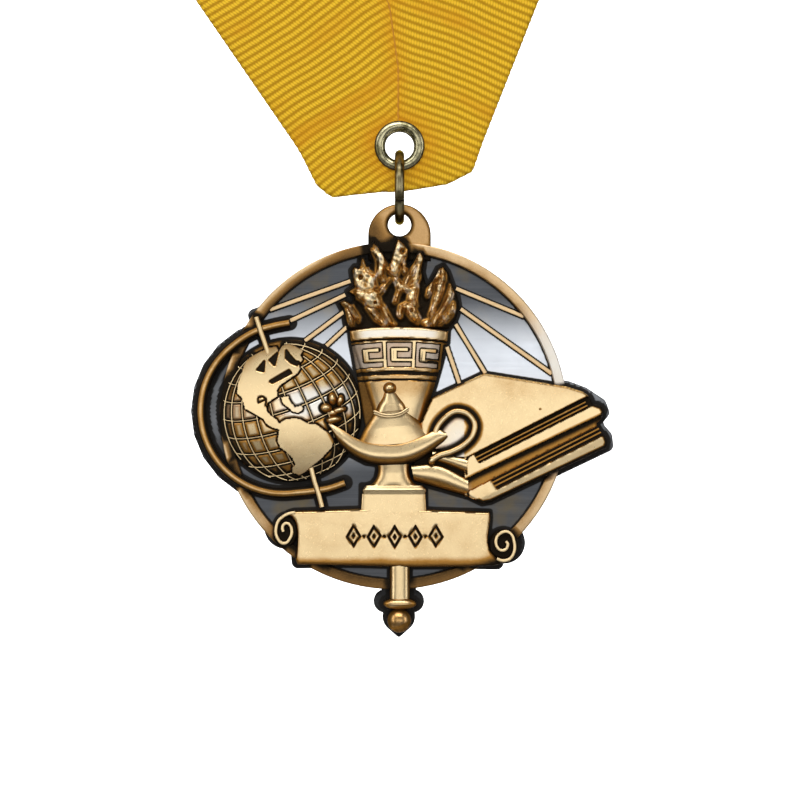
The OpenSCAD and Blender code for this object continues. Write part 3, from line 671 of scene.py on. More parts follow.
def dome(p):
    away = np.linalg.norm(p - GLOBE, axis=1) / GLOBE_R
    return DOME_EDGE + DOME_RISE * np.clip(1 - away ** 2, 0, 1)


def within_any(p, loops):
    return np.any([inside(p - GLOBE, loop) for loop in loops], axis=0)


def net_line(lat, lon):
    """The runs of one line of the net that lie on the near side of the globe and not on land."""
    lat, lon = np.radians(lat), np.radians(lon)
    x = np.cos(lat) * np.sin(lon)
    y = np.sin(lat) * np.cos(VIEW_NORTH) - np.cos(lat) * np.cos(lon) * np.sin(VIEW_NORTH)
    z = np.sin(lat) * np.sin(VIEW_NORTH) + np.cos(lat) * np.cos(lon) * np.cos(VIEW_NORTH)
    c, s = math.cos(AXIS_LEAN), math.sin(AXIS_LEAN)
    p = np.stack([x * c - y * s, x * s + y * c], 1) * GLOBE_R * NET_SIZE + GLOBE
    runs, run = [], []
    for point, shown in zip(p, (z > NEAR_SIDE) & ~within_any(p, LANDS)):
        if shown:
            run.append(point)
        elif run:
            runs.append(run)
            run = []
    return [np.array(r) for r in runs + [run] if len(r) > 3]


round_way = np.linspace(-89, 89, 60)
PARALLELS = [r for lat in range(-60, 76, 15) for r in net_line(np.full(60, lat), round_way)]
MERIDIANS = [r for lon in range(-75, 76, 15) for r in net_line(round_way * 0.86, np.full(60, lon))]
print(len(PARALLELS), "runs of parallels and", len(MERIDIANS), "of meridians")

# %% Globe
def globe_rule(p, inset):
    land = within_any(p, LANDS)
    shore = nearest(p - GLOBE, LANDS, True)
    ruled, wired = nearest(p, PARALLELS), nearest(p, MERIDIANS)
    lake = nearest(p - GLOBE, LAKES, True) - 0.12
    lake[within_any(p, LAKES)] = 0
    coast = nearest(p - GLOBE, COASTS)
    land_cut = np.maximum(fade(lake, 0.0, 0.16), fade(coast, 0.08, 0.20))
    sea_cut = most(fade(shore, 0.10, 0.34), fade(ruled, 0.20, 0.40),
                   0.95 * fade(wired, 0.15, 0.33))
    cut = np.where(land, land_cut, sea_cut)
    cell = np.where(land, 0, 0.42 * fade(np.minimum(ruled, wired), 0.2, 0.85))
    away = fade(inset, 0.0, 3.0) ** 1.3
    lower = ramp(GLOBE_Y - p[:, 1] + (p[:, 0] - GLOBE_X) * 0.5, 3.0, 9.5)
    z = dome(p)
    # land stands over the sea and is flatter than the dome
    z = np.where(land, z + 0.28 + 0.45 * (LAND_LEVEL - z), z)
    shade = np.where(land, 0.26, 0.62) * away + np.where(land, 0.02, 0.32) * lower
    return z - 0.16 * cut + rounded(inset, 0.5, 0.3), most(
        cut, cell + shade, patina_and_shadow_near(p, 0.12, 0.95, LAMP[:1]),
        patina_and_shadow_near(p, 0.06, 0.45, LAMP[3:]),
        patina_and_shadow_near(p, 0.25, 1.0, [(np.array(BOWL), True, 0.0)]))


def globe_highlight(p):
    # a painted highlight across the globe's middle band, fainter on land and to the left
    lean = (p[:, 1] - GLOBE_Y) - 0.10 * (p[:, 0] - GLOBE_X)
    band = fade(np.abs(lean - 1.0), 0.8, 3.4)
    band_highlight = np.where(within_any(p, LANDS), 0.40, 0.95)
    return band * band_highlight * (1 - 0.6 * ramp(GLOBE_X + 2 - p[:, 0], 0, 5))


note(ring(GLOBE_X, GLOBE_Y, GLOBE_R))
globe = relief("globe", [ring(GLOBE_X, GLOBE_Y, GLOBE_R, 200)], globe_rule, 0.14)
add_attribute(globe, "wear_and_highlight", globe_highlight)
for name, runs, over, width, dark in (("globe_meridians", MERIDIANS, 0.08, 0.17, 0.5),
                                      ("globe_parallels", PARALLELS, 0.04, 0.13, 0.7)):
    bars(name, [lifted(run, dome(run) + over) for run in runs], width, 0.5, dark=dark)

# %% [markdown]
# ## The arc and the axis pins
# A round arc holds the globe at its two pins, as on a desk globe. The arc runs on straight past the
# pins. These are bars again, and the pins taper to a point over the globe.

# %% Arc and pins
ARC_X, ARC_Y, ARC_R = -16.2, 0.7, 12.05
arc_way = np.radians(np.linspace(122, 277, 60))
arc_path = np.vstack([[(-15.3, 13.6), (-17.6, 13.15), (-20.0, 12.45)],
                      np.stack([ARC_X + ARC_R * np.cos(arc_way),
                                ARC_Y + ARC_R * np.sin(arc_way)], 1)[3:],
                      [(-11.6, -10.95), (-9.6, -10.6), (-7.2, -9.8)]])
arc_path = note(spline(arc_path, 120), False, 0.7)
bars("globe_arc", [lifted(arc_path, 3.3)], 1.5, 2.1, dark=1.0, fall=(-0.05, 0.13))
PINS = [np.array([(-20.1, 14.4), (-19.4, 12.2), (-18.5, 9.6), (-18.2, 8.6)]),
        np.array([(-12.1, -7.6), (-11.6, -9.6), (-11.0, -11.4), (-10.5, -13.3)])]
PIN_TAPERS = [(1.3, 1.2, 0.75, 0.1), (0.2, 0.7, 0.95, 0.75)]
bars("axis_pins", [lifted(note(pin, False, 0.45), 3.62) for pin in PINS], 0.85, 2.4,
     tapers=PIN_TAPERS, dark=0.9, fall=(0.02, 0.3))

# %% [markdown]
# ## The torch's bowl
# The bowl is a slim cone seen from the front, so its section is a shallow half round. A plain lip
# runs round its top and a key pattern in a sunk band below it, between fine lines.

# %% Bowl
BOWL_X, BOWL_HALF, BOWL_NARROWS = 0.72, 7.4, 0.30
LIP_X, LIP_Y, LIP_BEND = 0.7, 12.95, 0.009
BAND_TOP, BAND_FOOT = (2.10, 2.20), (5.82, 5.92)      # the sunk band's edges, below the lip


def below_lip(p):
    return LIP_Y - LIP_BEND * (p[:, 0] - LIP_X) ** 2 - p[:, 1]


def to_side(p):
    """0 on the bowl's middle line, and 1 or -1 at its two sides."""
    return (p[:, 0] - BOWL_X) / (BOWL_HALF - BOWL_NARROWS * np.clip(below_lip(p), 0, 14))


def bowl_front(p):
    return 2.4 + 1.25 * np.sqrt(np.clip(1 - np.clip(to_side(p), -1, 1) ** 2, 0, 1))


def in_band(p):
    v = below_lip(p)
    return ramp(v, *BAND_TOP) * fade(v, *BAND_FOOT)


KEY = [[(2.25, 1.95), (2.25, -0.80), (-0.98, -0.80), (-0.98, 0.70), (1.30, 0.70)],
       [(2.25, -0.80), (2.25, -1.95)], [(-0.58, -0.80), (-0.58, 0.70)]]
KEY_SPACING, KEY_V, KEY_TOP = 4.42, 3.97, 1.95


def on_band(points):
    """Bends the flat key pattern round the bowl: narrower to the sides and lower down."""
    points = np.array(points, float)
    x = points[:, 0] * (1 - 0.02 * (KEY_TOP - points[:, 1])) * (1 - 0.0011 * points[:, 0] ** 2)
    points[:, 1] += LIP_Y - KEY_V - LIP_BEND * (x + BOWL_X - LIP_X) ** 2
    points[:, 0] = x + BOWL_X
    return points


KEY_LINES = [on_band([(x + k * KEY_SPACING, y) for x, y in line])
             for k in (-1, 0, 1) for line in KEY]


def bowl_rule(p, inset):
    v, side = below_lip(p), np.abs(to_side(p))
    lip, sunk = fade(v, 1.55, 1.72), in_band(p)
    lines = most(*(fade(np.abs(v - at), half, half + 0.10)
                   for at, half in ((1.76, 0.10), (6.66, 0.24), (7.66, 0.10))))
    outline = np.maximum(fade(nearest(p, KEY_LINES) - 0.21, 0.10, 0.24),
                         fade(np.minimum(np.abs(v - 2.15), np.abs(v - 5.87)), 0.10, 0.22))
    z = bowl_front(p) + 0.30 * lip - 0.16 * sunk - 0.16 * lines + rounded(inset, 0.35, 0.35)
    # a little darker from the key band down; the bowl darkens towards both sides, where it turns
    # away, which is painted shade
    low = 0.16 * ramp(v, 2.0, 7.0) * fade(v, 8.5, 12.0)
    return z, most(sunk * np.maximum(outline, 0.36), lines, low,
                   0.6 * ramp(side, 0.74, 1.0) * (1 - 0.6 * lip))


def bowl_floor_and_highlight(p):
    # the pale floor of the key band between its bars, and a painted highlight on the lip's middle
    v = below_lip(p)
    lip = ramp(v, 0.1, 0.5) * fade(v, 1.2, 1.6)
    lip = lip * fade(np.abs(p[:, 0] - LIP_X), 4.5, 7)
    return np.maximum(0.55 * in_band(p) * (nearest(p, KEY_LINES) > 0.3), 0.75 * lip)


bowl = relief("torch_bowl", [BOWL], bowl_rule, 0.15)
add_attribute(bowl, "wear_and_highlight", bowl_floor_and_highlight)

# %% [markdown]
# One unit of the key pattern is drawn once. A second tree repeats it along the band by instancing
# it on a line of points, whose number and spacing are inputs, and then sweeps the bar.

# %% Key pattern
def key_tree():
    net, put = new_tree("key_band", "Band", Unit="Geometry", Units="Int", Spacing="Float",
                        Width="Float", Depth="Float", Finish="Material")
    step = net.node("ShaderNodeCombineXYZ", {"X": put["Spacing"]})
    start = net.node("ShaderNodeCombineXYZ", {"X": put["Spacing"] * -0.5 * (put["Units"] - 1)})
    spots = net.node("GeometryNodeMeshLine",
                     {"Count": put["Units"], "Start Location": start, "Offset": step},
                     mode="OFFSET")
    units = net.node("GeometryNodeInstanceOnPoints", {"Points": spots, "Instance": put["Unit"]})
    units = net.node("GeometryNodeRealizeInstances", {"Geometry": units})
    return sweep_along(net, upright_curve(net, units), box_section(net, put), put, "Band")


unit = bpy.data.meshes.new("key_unit")
ends = np.cumsum([0] + [len(line) for line in KEY])
unit.from_pydata([(x, y, 0) for line in KEY for x, y in line],
                 [(i, i + 1) for a, b in zip(ends, ends[1:]) for i in range(a, b - 1)], [])
band_points, band_faces = run_tree("key", unit, key_tree(), Units=3, Spacing=KEY_SPACING,
                                   Width=0.42, Depth=0.5, Finish=bronze_relief)
top_side = band_points[:, 2] > 0
band_points[:, :2] = on_band(band_points[:, :2])
band_points[:, 2] += bowl_front(band_points[:, :2]) - 0.22
side_shade = 0.6 * ramp(np.abs(to_side(band_points)), 0.74, 1.0)
make("key_band", band_points, band_faces, np.where(top_side, side_shade, 0.9), bronze_relief)

# %% [markdown]
# ## The fire
# The flames are the deepest carving on the medal: rubbed leaves that curl upwards over black
# hollows. One outline holds them all. Each leaf is an outline too, and the metal rises from its
# edge towards its middle line, which gives every leaf a crease and two sides.

# %% Fire
FIRE = note([(-7.0, 12.6), (-7.4, 15.1), (-8.2, 16.6), (-7.2, 17.0), (-6.2, 16.5), (-5.9, 17.3),
             (-6.9, 18.2), (-6.0, 18.9), (-6.3, 21.3), (-5.8, 21.9), (-5.2, 21.6), (-4.9, 23.2),
             (-4.3, 23.2), (-3.9, 22.0), (-3.3, 22.4), (-3.8, 24.5), (-3.0, 25.6), (-2.2, 24.7),
             (-1.2, 23.2), (-0.7, 22.5), (-0.3, 23.9), (0.5, 26.1), (1.5, 25.3), (2.2, 24.4),
             (2.3, 23.0), (2.0, 21.9), (2.6, 22.4), (3.4, 23.9), (4.0, 24.0), (4.5, 23.0),
             (4.2, 21.0), (4.7, 19.1), (5.4, 19.7), (6.4, 21.6), (7.2, 22.0), (7.9, 21.1),
             (8.5, 19.4), (9.3, 17.5), (9.6, 15.7), (9.0, 14.0), (8.0, 12.7)])
LEAVES = [
    [(-6.01, 21.66), (-5.81, 21.81), (-5.21, 21.61), (-5.11, 22.26), (-4.81, 21.71), (-4.51, 21.96),
     (-4.35, 23.16), (-4.08, 22.46), (-4.1, 21.66), (-3.85, 21.06), (-3.3, 20.75), (-2.85, 20.25),
     (-2.75, 19.65), (-2.65, 18.85), (-2.9, 18.5), (-3.7, 18.19), (-4.51, 18.19), (-5.31, 18.65),
     (-5.66, 19.15), (-5.91, 20.05)],
    [(-3.65, 24.42), (-2.9, 24.05), (-2.65, 24.32), (-2.9, 25.52), (-2.3, 24.82), (-1.59, 24.27),
     (-1.26, 23.67), (-1.24, 22.26), (-1.44, 21.66), (-1.51, 20.45), (-1.29, 19.65), (-1.69, 19.65),
     (-2.1, 20.0), (-2.47, 21.06), (-2.38, 21.86), (-2.5, 22.86), (-2.9, 23.67)],
    [(0.61, 25.83), (1.22, 25.07), (1.67, 24.67), (2.12, 23.87), (1.54, 23.26), (1.13, 22.46),
     (0.83, 21.66), (0.61, 21.06), (0.31, 20.37), (-0.19, 20.6), (-0.59, 20.88), (-1.35, 21.58),
     (-0.64, 21.26), (-0.31, 21.76), (-0.33, 22.86), (-0.14, 23.87), (0.11, 25.07)],
    [(1.27, 22.16), (1.54, 21.96), (1.74, 21.06), (1.62, 20.75), (1.3, 21.26)],
    [(3.62, 24.07), (4.13, 23.82), (4.31, 23.26), (4.13, 22.06), (3.78, 20.86), (3.57, 20.05),
     (3.24, 19.3), (2.47, 18.73), (2.07, 18.85), (2.62, 19.45), (3.07, 20.35), (3.24, 21.06),
     (3.44, 21.66), (3.37, 22.21), (2.72, 21.16), (2.04, 20.3), (1.84, 19.35), (1.62, 19.2),
     (1.62, 19.85), (2.27, 20.65), (2.82, 21.51), (3.24, 22.41), (3.44, 23.16)],
    [(0.04, 20.15), (0.71, 19.65), (1.52, 19.15), (1.97, 18.8), (3.27, 19.1), (3.24, 18.04),
     (3.07, 17.14), (3.24, 16.04), (2.82, 16.14), (2.67, 16.84), (2.12, 16.89), (2.34, 18.04),
     (1.97, 18.29), (1.22, 18.5), (0.86, 18.14), (0.61, 17.54), (0.33, 16.64), (0.15, 16.59),
     (0.41, 17.54), (0.66, 18.34), (0.46, 19.25)],
    [(0.91, 16.04), (1.72, 16.39), (2.34, 16.24), (2.94, 15.88), (3.17, 15.13), (3.57, 14.23),
     (3.44, 13.63), (2.72, 14.13), (2.07, 14.93), (1.62, 15.73), (1.32, 15.73), (0.93, 14.53),
     (0.76, 14.73)],
    [(-6.66, 18.02), (-5.31, 18.36), (-4.61, 18.19), (-3.7, 18.02), (-2.9, 18.29), (-2.25, 18.16),
     (-1.64, 18.85), (-0.59, 19.9), (-1.59, 18.4), (-2.25, 17.54), (-2.08, 16.64), (-1.67, 16.14),
     (-1.14, 15.28), (-0.64, 14.43), (-0.24, 13.73), (0.11, 13.32), (-0.61, 13.58), (-1.29, 14.63),
     (-1.87, 15.68), (-2.7, 15.88), (-3.7, 15.94), (-4.3, 16.64), (-5.11, 17.22), (-5.81, 17.79)],
    [(-3.85, 15.73), (-2.9, 15.31), (-2.25, 14.63), (-1.84, 13.98), (-1.14, 13.17), (-1.89, 13.53),
     (-2.7, 14.11), (-3.3, 14.88)],
    [(-8.32, 16.64), (-7.32, 16.79), (-6.69, 16.49), (-6.09, 15.88), (-5.59, 15.05), (-5.19, 14.33),
     (-5.26, 13.83), (-5.81, 14.28), (-6.26, 15.18), (-6.66, 15.88), (-7.37, 16.39)],
    [(-6.86, 15.48), (-6.49, 14.95), (-5.96, 13.98), (-6.06, 13.22), (-6.51, 13.83),
     (-6.79, 14.63)],
    [(7.14, 21.76), (7.42, 20.86), (7.39, 19.75), (7.19, 19.3), (7.06, 18.6), (6.76, 17.59),
     (6.46, 16.79), (5.95, 15.88), (5.65, 14.68), (5.33, 14.18), (5.18, 14.73), (5.58, 15.73),
     (5.78, 16.64), (6.05, 17.84), (6.19, 19.15), (6.64, 19.4), (6.82, 20.25)],
    [(6.64, 21.26), (6.69, 20.3), (5.88, 19.9)],
    [(8.24, 18.95), (8.49, 18.04), (8.16, 17.09), (7.56, 15.99), (6.79, 14.88), (6.29, 13.78),
     (5.85, 13.02), (5.65, 13.32), (5.88, 14.13), (6.54, 15.03), (7.09, 15.99), (7.59, 17.14),
     (7.99, 17.89)],
    [(8.65, 16.44), (8.62, 15.63), (8.36, 14.63), (7.64, 13.83), (7.26, 14.03), (7.69, 15.03),
     (8.24, 15.68)],
    [(7.09, 13.83), (6.74, 13.32), (6.42, 13.42)],
    [(4.23, 13.63), (4.93, 13.93), (4.88, 12.87)],
    [(5.73, 19.85), (5.48, 19.05), (5.18, 18.04), (4.85, 17.54), (5.03, 18.34), (5.35, 19.15)],
]
PITS = [(-4.86, 20.2, 0.42), (1.3, 24.0, 0.55), (-1.89, 23.97, 0.26), (2.52, 15.43, 0.4),
        (-2.75, 16.5, 0.3)]


def flicker(p):
    x, y = p.T
    return (np.sin(x * 2.9 + 1.3 * np.sin(y * 1.7)) * np.cos(y * 1.3 - x * 0.8),
            np.sin(x * 7.1 + y * 2.3) * np.sin(y * 4.7 - x * 3.1))


def fire_rule(p, inset):
    """Leaves stand over the hollows between them, and pits are sunk into the leaves."""
    x, y = p.T
    wave, fine = flicker(p)
    edge = np.full(len(p), -FAR_AWAY)
    for leaf in map(np.array, LEAVES):
        some = np.all((p > leaf.min(0) - 1.2) & (p < leaf.max(0) + 1.2), axis=1)
        away = distance(p[some], leaf, True) * np.where(inside(p[some], leaf), 1, -1)
        edge[some] = np.maximum(edge[some], away + 0.10)
    pit = np.max([fade(np.hypot(x - a, y - b), r * 0.2, r * 1.25) for a, b, r in PITS], axis=0)
    held, body = edge > 0, ramp(edge, 0.0, 0.5)
    low = ramp(y, 12.4, 14.0)
    level = np.where(held, 0.66 + 0.34 * body + 0.12 * wave + 0.05 * fine, 0)
    slope = 0.42 * fade(-edge, 0.0, 0.9) + 0.06 * wave
    z = 2.35 + 1.25 * np.maximum(level * (1 - 0.4 * pit), slope) * (0.7 + 0.3 * low)
    # lit is painted light on the leaves, with brown streaks and a darker lower part as painted
    # shade; the hollows between get patina
    streak = np.clip(-wave, 0, 1) * 0.30 + np.clip(fine, 0, 1) * 0.20
    lit = np.where(held, 0.86 + 0.20 * body - streak - 0.6 * pit,
                   (0.52 + 0.2 * wave) * fade(-edge, 0.0, 0.55) + 0.16)
    lit = lit * (0.7 + 0.3 * low) * ramp(inset, 0.1, 0.45)
    return z + rounded(inset, 0.3, 0.4), 1 - np.clip(lit, 0, 1)


def fire_highlight(p):
    # painted highlights on the crests of the leaves
    wave, fine = flicker(p)
    return 0.5 * ramp(wave + 0.2 * fine, 0.15, 1.0)


fire = relief("torch_fire", [FIRE], fire_rule, 0.12, corner=28)
add_attribute(fire, "wear_and_highlight", fire_highlight)

# %% [markdown]
# ## The oil lamp
# The lamp is the roundest motif. Its boat-shaped bowl, bell-shaped lid and cap are swells between
# rails, the knob and the wick's small flame are rounded drops, and the handle is a bent bar. The
# boat's upper edge stands over the lid, so its two rails have different heights.

# %% Rounded drops
def drop(name, x, y, rx, ry, turn, edge, crown, dark=0.7, base=0.0):
    """An oval of these radii that rises from an edge height to a crown. It darkens towards its
    edge, with patina at the foot and painted shade on the slope, and has painted shade on its lower
    side.
    """
    c, s = math.cos(math.radians(turn)), math.sin(math.radians(turn))

    def rule(p, inset):
        u, v = (p - (x, y)) @ (c, s) / rx, (p - (x, y)) @ (-s, c) / ry
        rise = np.sqrt(np.clip(1 - (u ** 2 + v ** 2), 0, 1))
        # painted shade on the lower right side
        low = 0.62 * ramp(0.4 * u - v, -0.3, 1.0)
        return edge + (crown - edge) * rise, most(dark * (1 - rise) ** 1.1, low,
                                                  np.full(len(p), base))
    return relief(name, [note(oval(x, y, rx, ry, turn))], rule, 0.11)


# %% Lamp
swell("lamp_boat", BOAT_TOP, BOAT_LOW, ([3.5, 4.2, 4.5, 4.5, 4.4, 4.1, 3.6], 2.5),
      [3.7, 4.5, 4.8, 4.85, 4.8, 4.6, 4.1], parts=80, arc=24, fades=(0.45, 1.0), low=0.85)
swell("lamp_lid", LID_LEFT, LID_RIGHT, (3.0, 3.0), [4.3, 4.3, 4.25, 4.1, 3.9],
      fades=(1.0, 0.75))
CAP_LEFT = [(-2.75, 0.45), (-2.35, 1.6), (-1.75, 2.6), (-1.45, 3.5)]
CAP_RIGHT = [(1.95, 0.95), (1.75, 1.5), (1.0, 2.5), (0.35, 3.3)]
note(CAP_LEFT + CAP_RIGHT[::-1])
swell("lamp_cap", CAP_LEFT, CAP_RIGHT, (3.1, 3.1), [4.5, 4.6, 4.4, 4.2], parts=40,
      fades=(1.0, 0.9))
cap_line = spline([(-2.75, 0.62), (-1.6, 0.22), (-0.3, 0.16), (1.0, 0.46), (1.95, 1.05)], 24)
cap_high = 4.62 - 0.09 * (cap_line[:, 0] + 0.4) ** 2
bars("lamp_cap_shadow", [lifted(cap_line - (0, 0.30), cap_high - 0.12)], 0.36, 1.2, dark=1.0)
bars("lamp_band", [lifted(cap_line, cap_high)], 0.34, 1.4, dark=0.9)
drop("lamp_knob", -0.62, 4.0, 1.02, 0.95, 0, 3.3, 4.85, dark=1.0, base=0.1)
handle_taper = spread_even([0.9, 1, 1, 1, 1, 0.95, 0.62], np.linspace(0, 1, len(HANDLE)))
bars("lamp_handle", [lifted(HANDLE, 4.2)], 1.15, 2.4, tapers=[handle_taper], dark=1.0,
     fall=(0.0, 0.17))
drop("lamp_handle_end", 5.5, -6.55, 0.55, 0.62, 0, 3.3, 4.3)
for i, petal in enumerate(WICK):
    drop(f"lamp_wick_{i}", *petal[:5], 3.0, petal[5], dark=1.0, base=0.06)

# %% [markdown]
# ## The pedestal and the torch's handle
# The lamp stands on a flared neck, a chamfered collar and a block, and the torch's shaft comes out
# again under the scroll, with a collar and an egg-shaped end.

# %% Pedestal
NECK_LEFT = [(-2.45, -6.9), (-2.35, -8.0), (-2.6, -9.1), (-3.2, -9.9), (-4.2, -10.25)]
NECK_RIGHT = [(2.25, -6.9), (2.2, -8.0), (2.45, -9.1), (3.0, -9.9), (3.9, -10.25)]
note(NECK_LEFT + NECK_RIGHT[::-1])
swell("pedestal_neck", NECK_LEFT, NECK_RIGHT, (2.5, 2.5), [3.7, 3.6, 3.6, 3.5], parts=40,
      fades=(0.9, 0.8))
note([(-4.75, -10.2), (4.5, -10.2), (4.6, -14.0), (-4.8, -14.0)])
swell("pedestal_collar", [(-4.15, -10.2), (-4.6, -10.9), (-4.45, -11.45)],
      [(4.1, -10.2), (4.7, -10.9), (4.5, -11.45)], (3.1, 3.1), [3.6, 4.0, 3.7], parts=18, arc=20,
      power=0.35, fades=(0.4, 0.6))
swell("pedestal_block", [(-4.7, -11.4), (-4.85, -14.0)], [(4.6, -11.4), (4.75, -14.0)],
      (2.9, 2.9), 3.55, parts=8, arc=28, smooth=False, power=0.35, fades=(0.6, 0.9))

# %% Handle under the scroll
note([(-0.62, -21.5), (-0.62, -26.6), (2.3, -26.6), (2.3, -21.5)])
swell("handle_shaft", [(-0.62, -21.4), (-0.62, -26.8)], [(2.3, -21.4), (2.3, -26.8)],
      (2.2, 2.2), 3.35, parts=12, smooth=False, fades=(0.9, 1.0), power=0.8)
drop("handle_collar", 0.85, -27.45, 2.5, 0.9, 0, 2.6, 3.75, dark=1.0, base=0.1)
drop("handle_ball", 0.75, -29.93, 1.8, 1.85, 0, 2.0, 3.8, dark=1.0, base=0.24)

# %% [markdown]
# ## The two books
# A pair of closed books lies under the lamp's handle. Cover, pages and boards are bands that run
# along the books' front edge, so the height rule first asks how far along that edge a point lies
# and how far below it. The page edges between the grooves are straight bars between two pairs of
# end points, and the two spines are swells.

# %% Books
BOOKS = note([(2.6, -7.2), (3.9, -4.2), (3.9, -1.0), (5.5, 2.65), (13.1, 6.2), (25.1, 4.3),
              (27.6, 3.5), (28.75, 2.6), (28.9, 1.9), (30.3, 1.4), (30.75, 0.6), (30.3, -0.5),
              (29.6, -1.1), (29.8, -2.0), (30.9, -2.9), (31.25, -3.9), (30.9, -4.7), (14.2, -12.6),
              (12.9, -12.85), (10.9, -11.9), (2.9, -9.6)])
EDGE_LEFT, EDGE_RIGHT = np.array([10.72, -6.08]), np.array([27.86, 2.62])
EDGE_WAY = (EDGE_RIGHT - EDGE_LEFT) / np.linalg.norm(EDGE_RIGHT - EDGE_LEFT)
EDGE_DOWN = np.array([EDGE_WAY[1], -EDGE_WAY[0]])
COVER = np.array([(3.5, -4.3), (3.9, -1.0), (5.5, 2.6), (13.1, 6.12), (25.0, 4.26), (27.3, 3.55),
                  (28.5, 2.8), (27.86, 2.62), (10.72, -6.08), (9.3, -6.1), (6.5, -4.9)])
FOLDS = [[(10.72, -6.08), (10.42, -7.0), (10.55, -8.45)],
         [(10.80, -9.55), (10.62, -10.4), (10.85, -11.75)]]
note(COVER)
COVER_RIGHT = 10.2         # left of this line the books show their spines


def books_rule(p, inset):
    u, v = (p - EDGE_LEFT) @ EDGE_WAY, (p - EDGE_LEFT) @ EDGE_DOWN
    share = np.clip(u / 20, 0, 1.1)
    board = 2.72 + 0.56 * share                 # where the upper board ends below
    start = 0.9 + 0.10 * v                      # where the grooves begin at the fold
    cover = inside(p, COVER)
    right = p[:, 0] > COVER_RIGHT
    paged = ramp(u, start, start + 0.35) * right
    upper = ramp(v, -0.05, 0.05) * fade(v, 1.45, 1.55) * paged
    lower = ramp(v, 4.42, 4.5) * fade(v, 6.05, 6.15) * paged
    # dark close under the upper board: patina in the gap and a painted shadow of the board
    gap = (v > board) & (v < 4.46) & right
    under = fade(v - board, 0.10, 1.15)
    z = np.where(cover, 3.62 + 0.012 * (p[:, 1] + 6), np.where(right, 3.42, 2.6))
    z = np.where(gap, 2.85, z) - 0.5 * upper - 0.35 * lower
    z += rounded(inset, 0.35, 0.35) - 0.1 * (v - 6.2) * (v > 6.2)
    # the board's lower bevel and the walls at the books' lower edge and right end get painted shade
    bevel = ramp(v, board - 0.45, board) * (v < board) * (v > 1.5)
    wall = 1.6 * ramp(inset, 0.62, 0.36) * ((v > 6) | ((u > 17) & (v > 0.6)))
    edge_shade = np.maximum(0.30 * ramp(inset, 0.5, 0.05), 0.10 * ramp(p[:, 1], 0.5, 5.5))
    near_handle = 0.85 * patina_and_shadow_near(p, 0.1, 0.9, LAMP[1:2])
    speck = fade(np.linalg.norm(p - (21.27, 0.98), axis=1), 0.08, 0.2)
    fold = fade(nearest(p, FOLDS), 0.10, 0.24)
    front = fade(np.abs(v), 0.10, 0.22)
    flat = np.where(cover, most(edge_shade, near_handle, speck, front * (u > 0)),
                    np.where(right, 0.62 * np.maximum(bevel, wall), 1.0))
    return z, most(np.where(gap, 0.34 + 0.66 * under, flat), 0.95 * upper, 0.95 * lower, fold)


def books_highlight(p):
    # painted highlights on the left part of the cover and beside the folds
    low_left = fade(np.hypot(p[:, 0] - 10.5, (p[:, 1] + 3.8) * 1.3), 1.5, 8.5)
    folds = fade(nearest(p, FOLDS), 0.3, 1.3)
    return np.maximum(0.70 * low_left * (p[:, 0] < COVER_RIGHT), 0.25 * folds * (p[:, 0] > 10.6))


books = relief("two_books", [BOOKS], books_rule, 0.19)
add_attribute(books, "wear_and_highlight", books_highlight)


def page_set(name, rows, width, top):
    """Page edges, each a bar between two points that lie this far below the books' front edge."""
    lines = [lifted([EDGE_LEFT + EDGE_WAY * u + EDGE_DOWN * v for u in (0.6 + 0.1 * v, 19.0)], top)
             for v in rows]
    made = bars(name, lines, width, 0.9, rounding=0.05, dark=0.9)
    add_attribute(made, "patina_and_shade", lambda p: np.full(len(p), 0.33))


page_set("upper_pages", (0.58, 1.14), 0.19, 3.40)
page_set("lower_pages", (4.92, 5.52), 0.22, 3.28)
swell("upper_spine", [(5.6, -5.0), (8.2, -5.7), (10.72, -6.25)],
      [(5.6, -6.5), (8.0, -7.25), (10.55, -8.4)], (3.1, 2.4), 3.6, parts=24, fades=(0.4, 1.0),
      low=0.5)
swell("lower_spine", [(2.5, -7.2), (6.0, -7.15), (10.8, -9.3)],
      [(2.95, -9.5), (6.8, -10.6), (10.85, -11.75)], (3.0, 2.3), 3.55, parts=30,
      fades=(0.5, 1.0), low=0.55)

# %% [markdown]
# ## The scroll
# A ribbon-like scroll crosses the foot of the medal, with both ends rolled up. Its face is a flat
# relief with a soft bow. Five engraved lozenges with dots between them fill the panel in its
# middle. The rolled ends are black ovals, and on each the rolled sheet shows as a spiral bar that
# swells and thins.

# %% Scroll
SCROLL = note([(-14.6, -13.93), (-8.0, -13.7), (0.2, -13.45), (6.0, -13.8), (14.0, -14.05),
               (14.05, -15.15), (13.89, -16.55), (13.73, -17.66), (13.79, -18.72), (14.03, -19.73),
               (14.67, -20.56), (15.23, -20.98), (16.1, -21.25), (15.5, -21.7), (14.4, -21.95),
               (3.2, -22.1), (-6.0, -21.85), (-14.1, -21.7), (-14.31, -21.13), (-14.19, -19.87),
               (-14.12, -17.97), (-14.14, -17.03), (-14.25, -16.08), (-14.5, -15.32),
               (-14.95, -14.78), (-15.58, -14.45), (-15.55, -14.22), (-15.1, -14.05)])
MARKS_Y = -17.6
LOZENGES, DOTS = np.linspace(-5.9, 6.1, 5), np.linspace(-4.4, 4.6, 4)


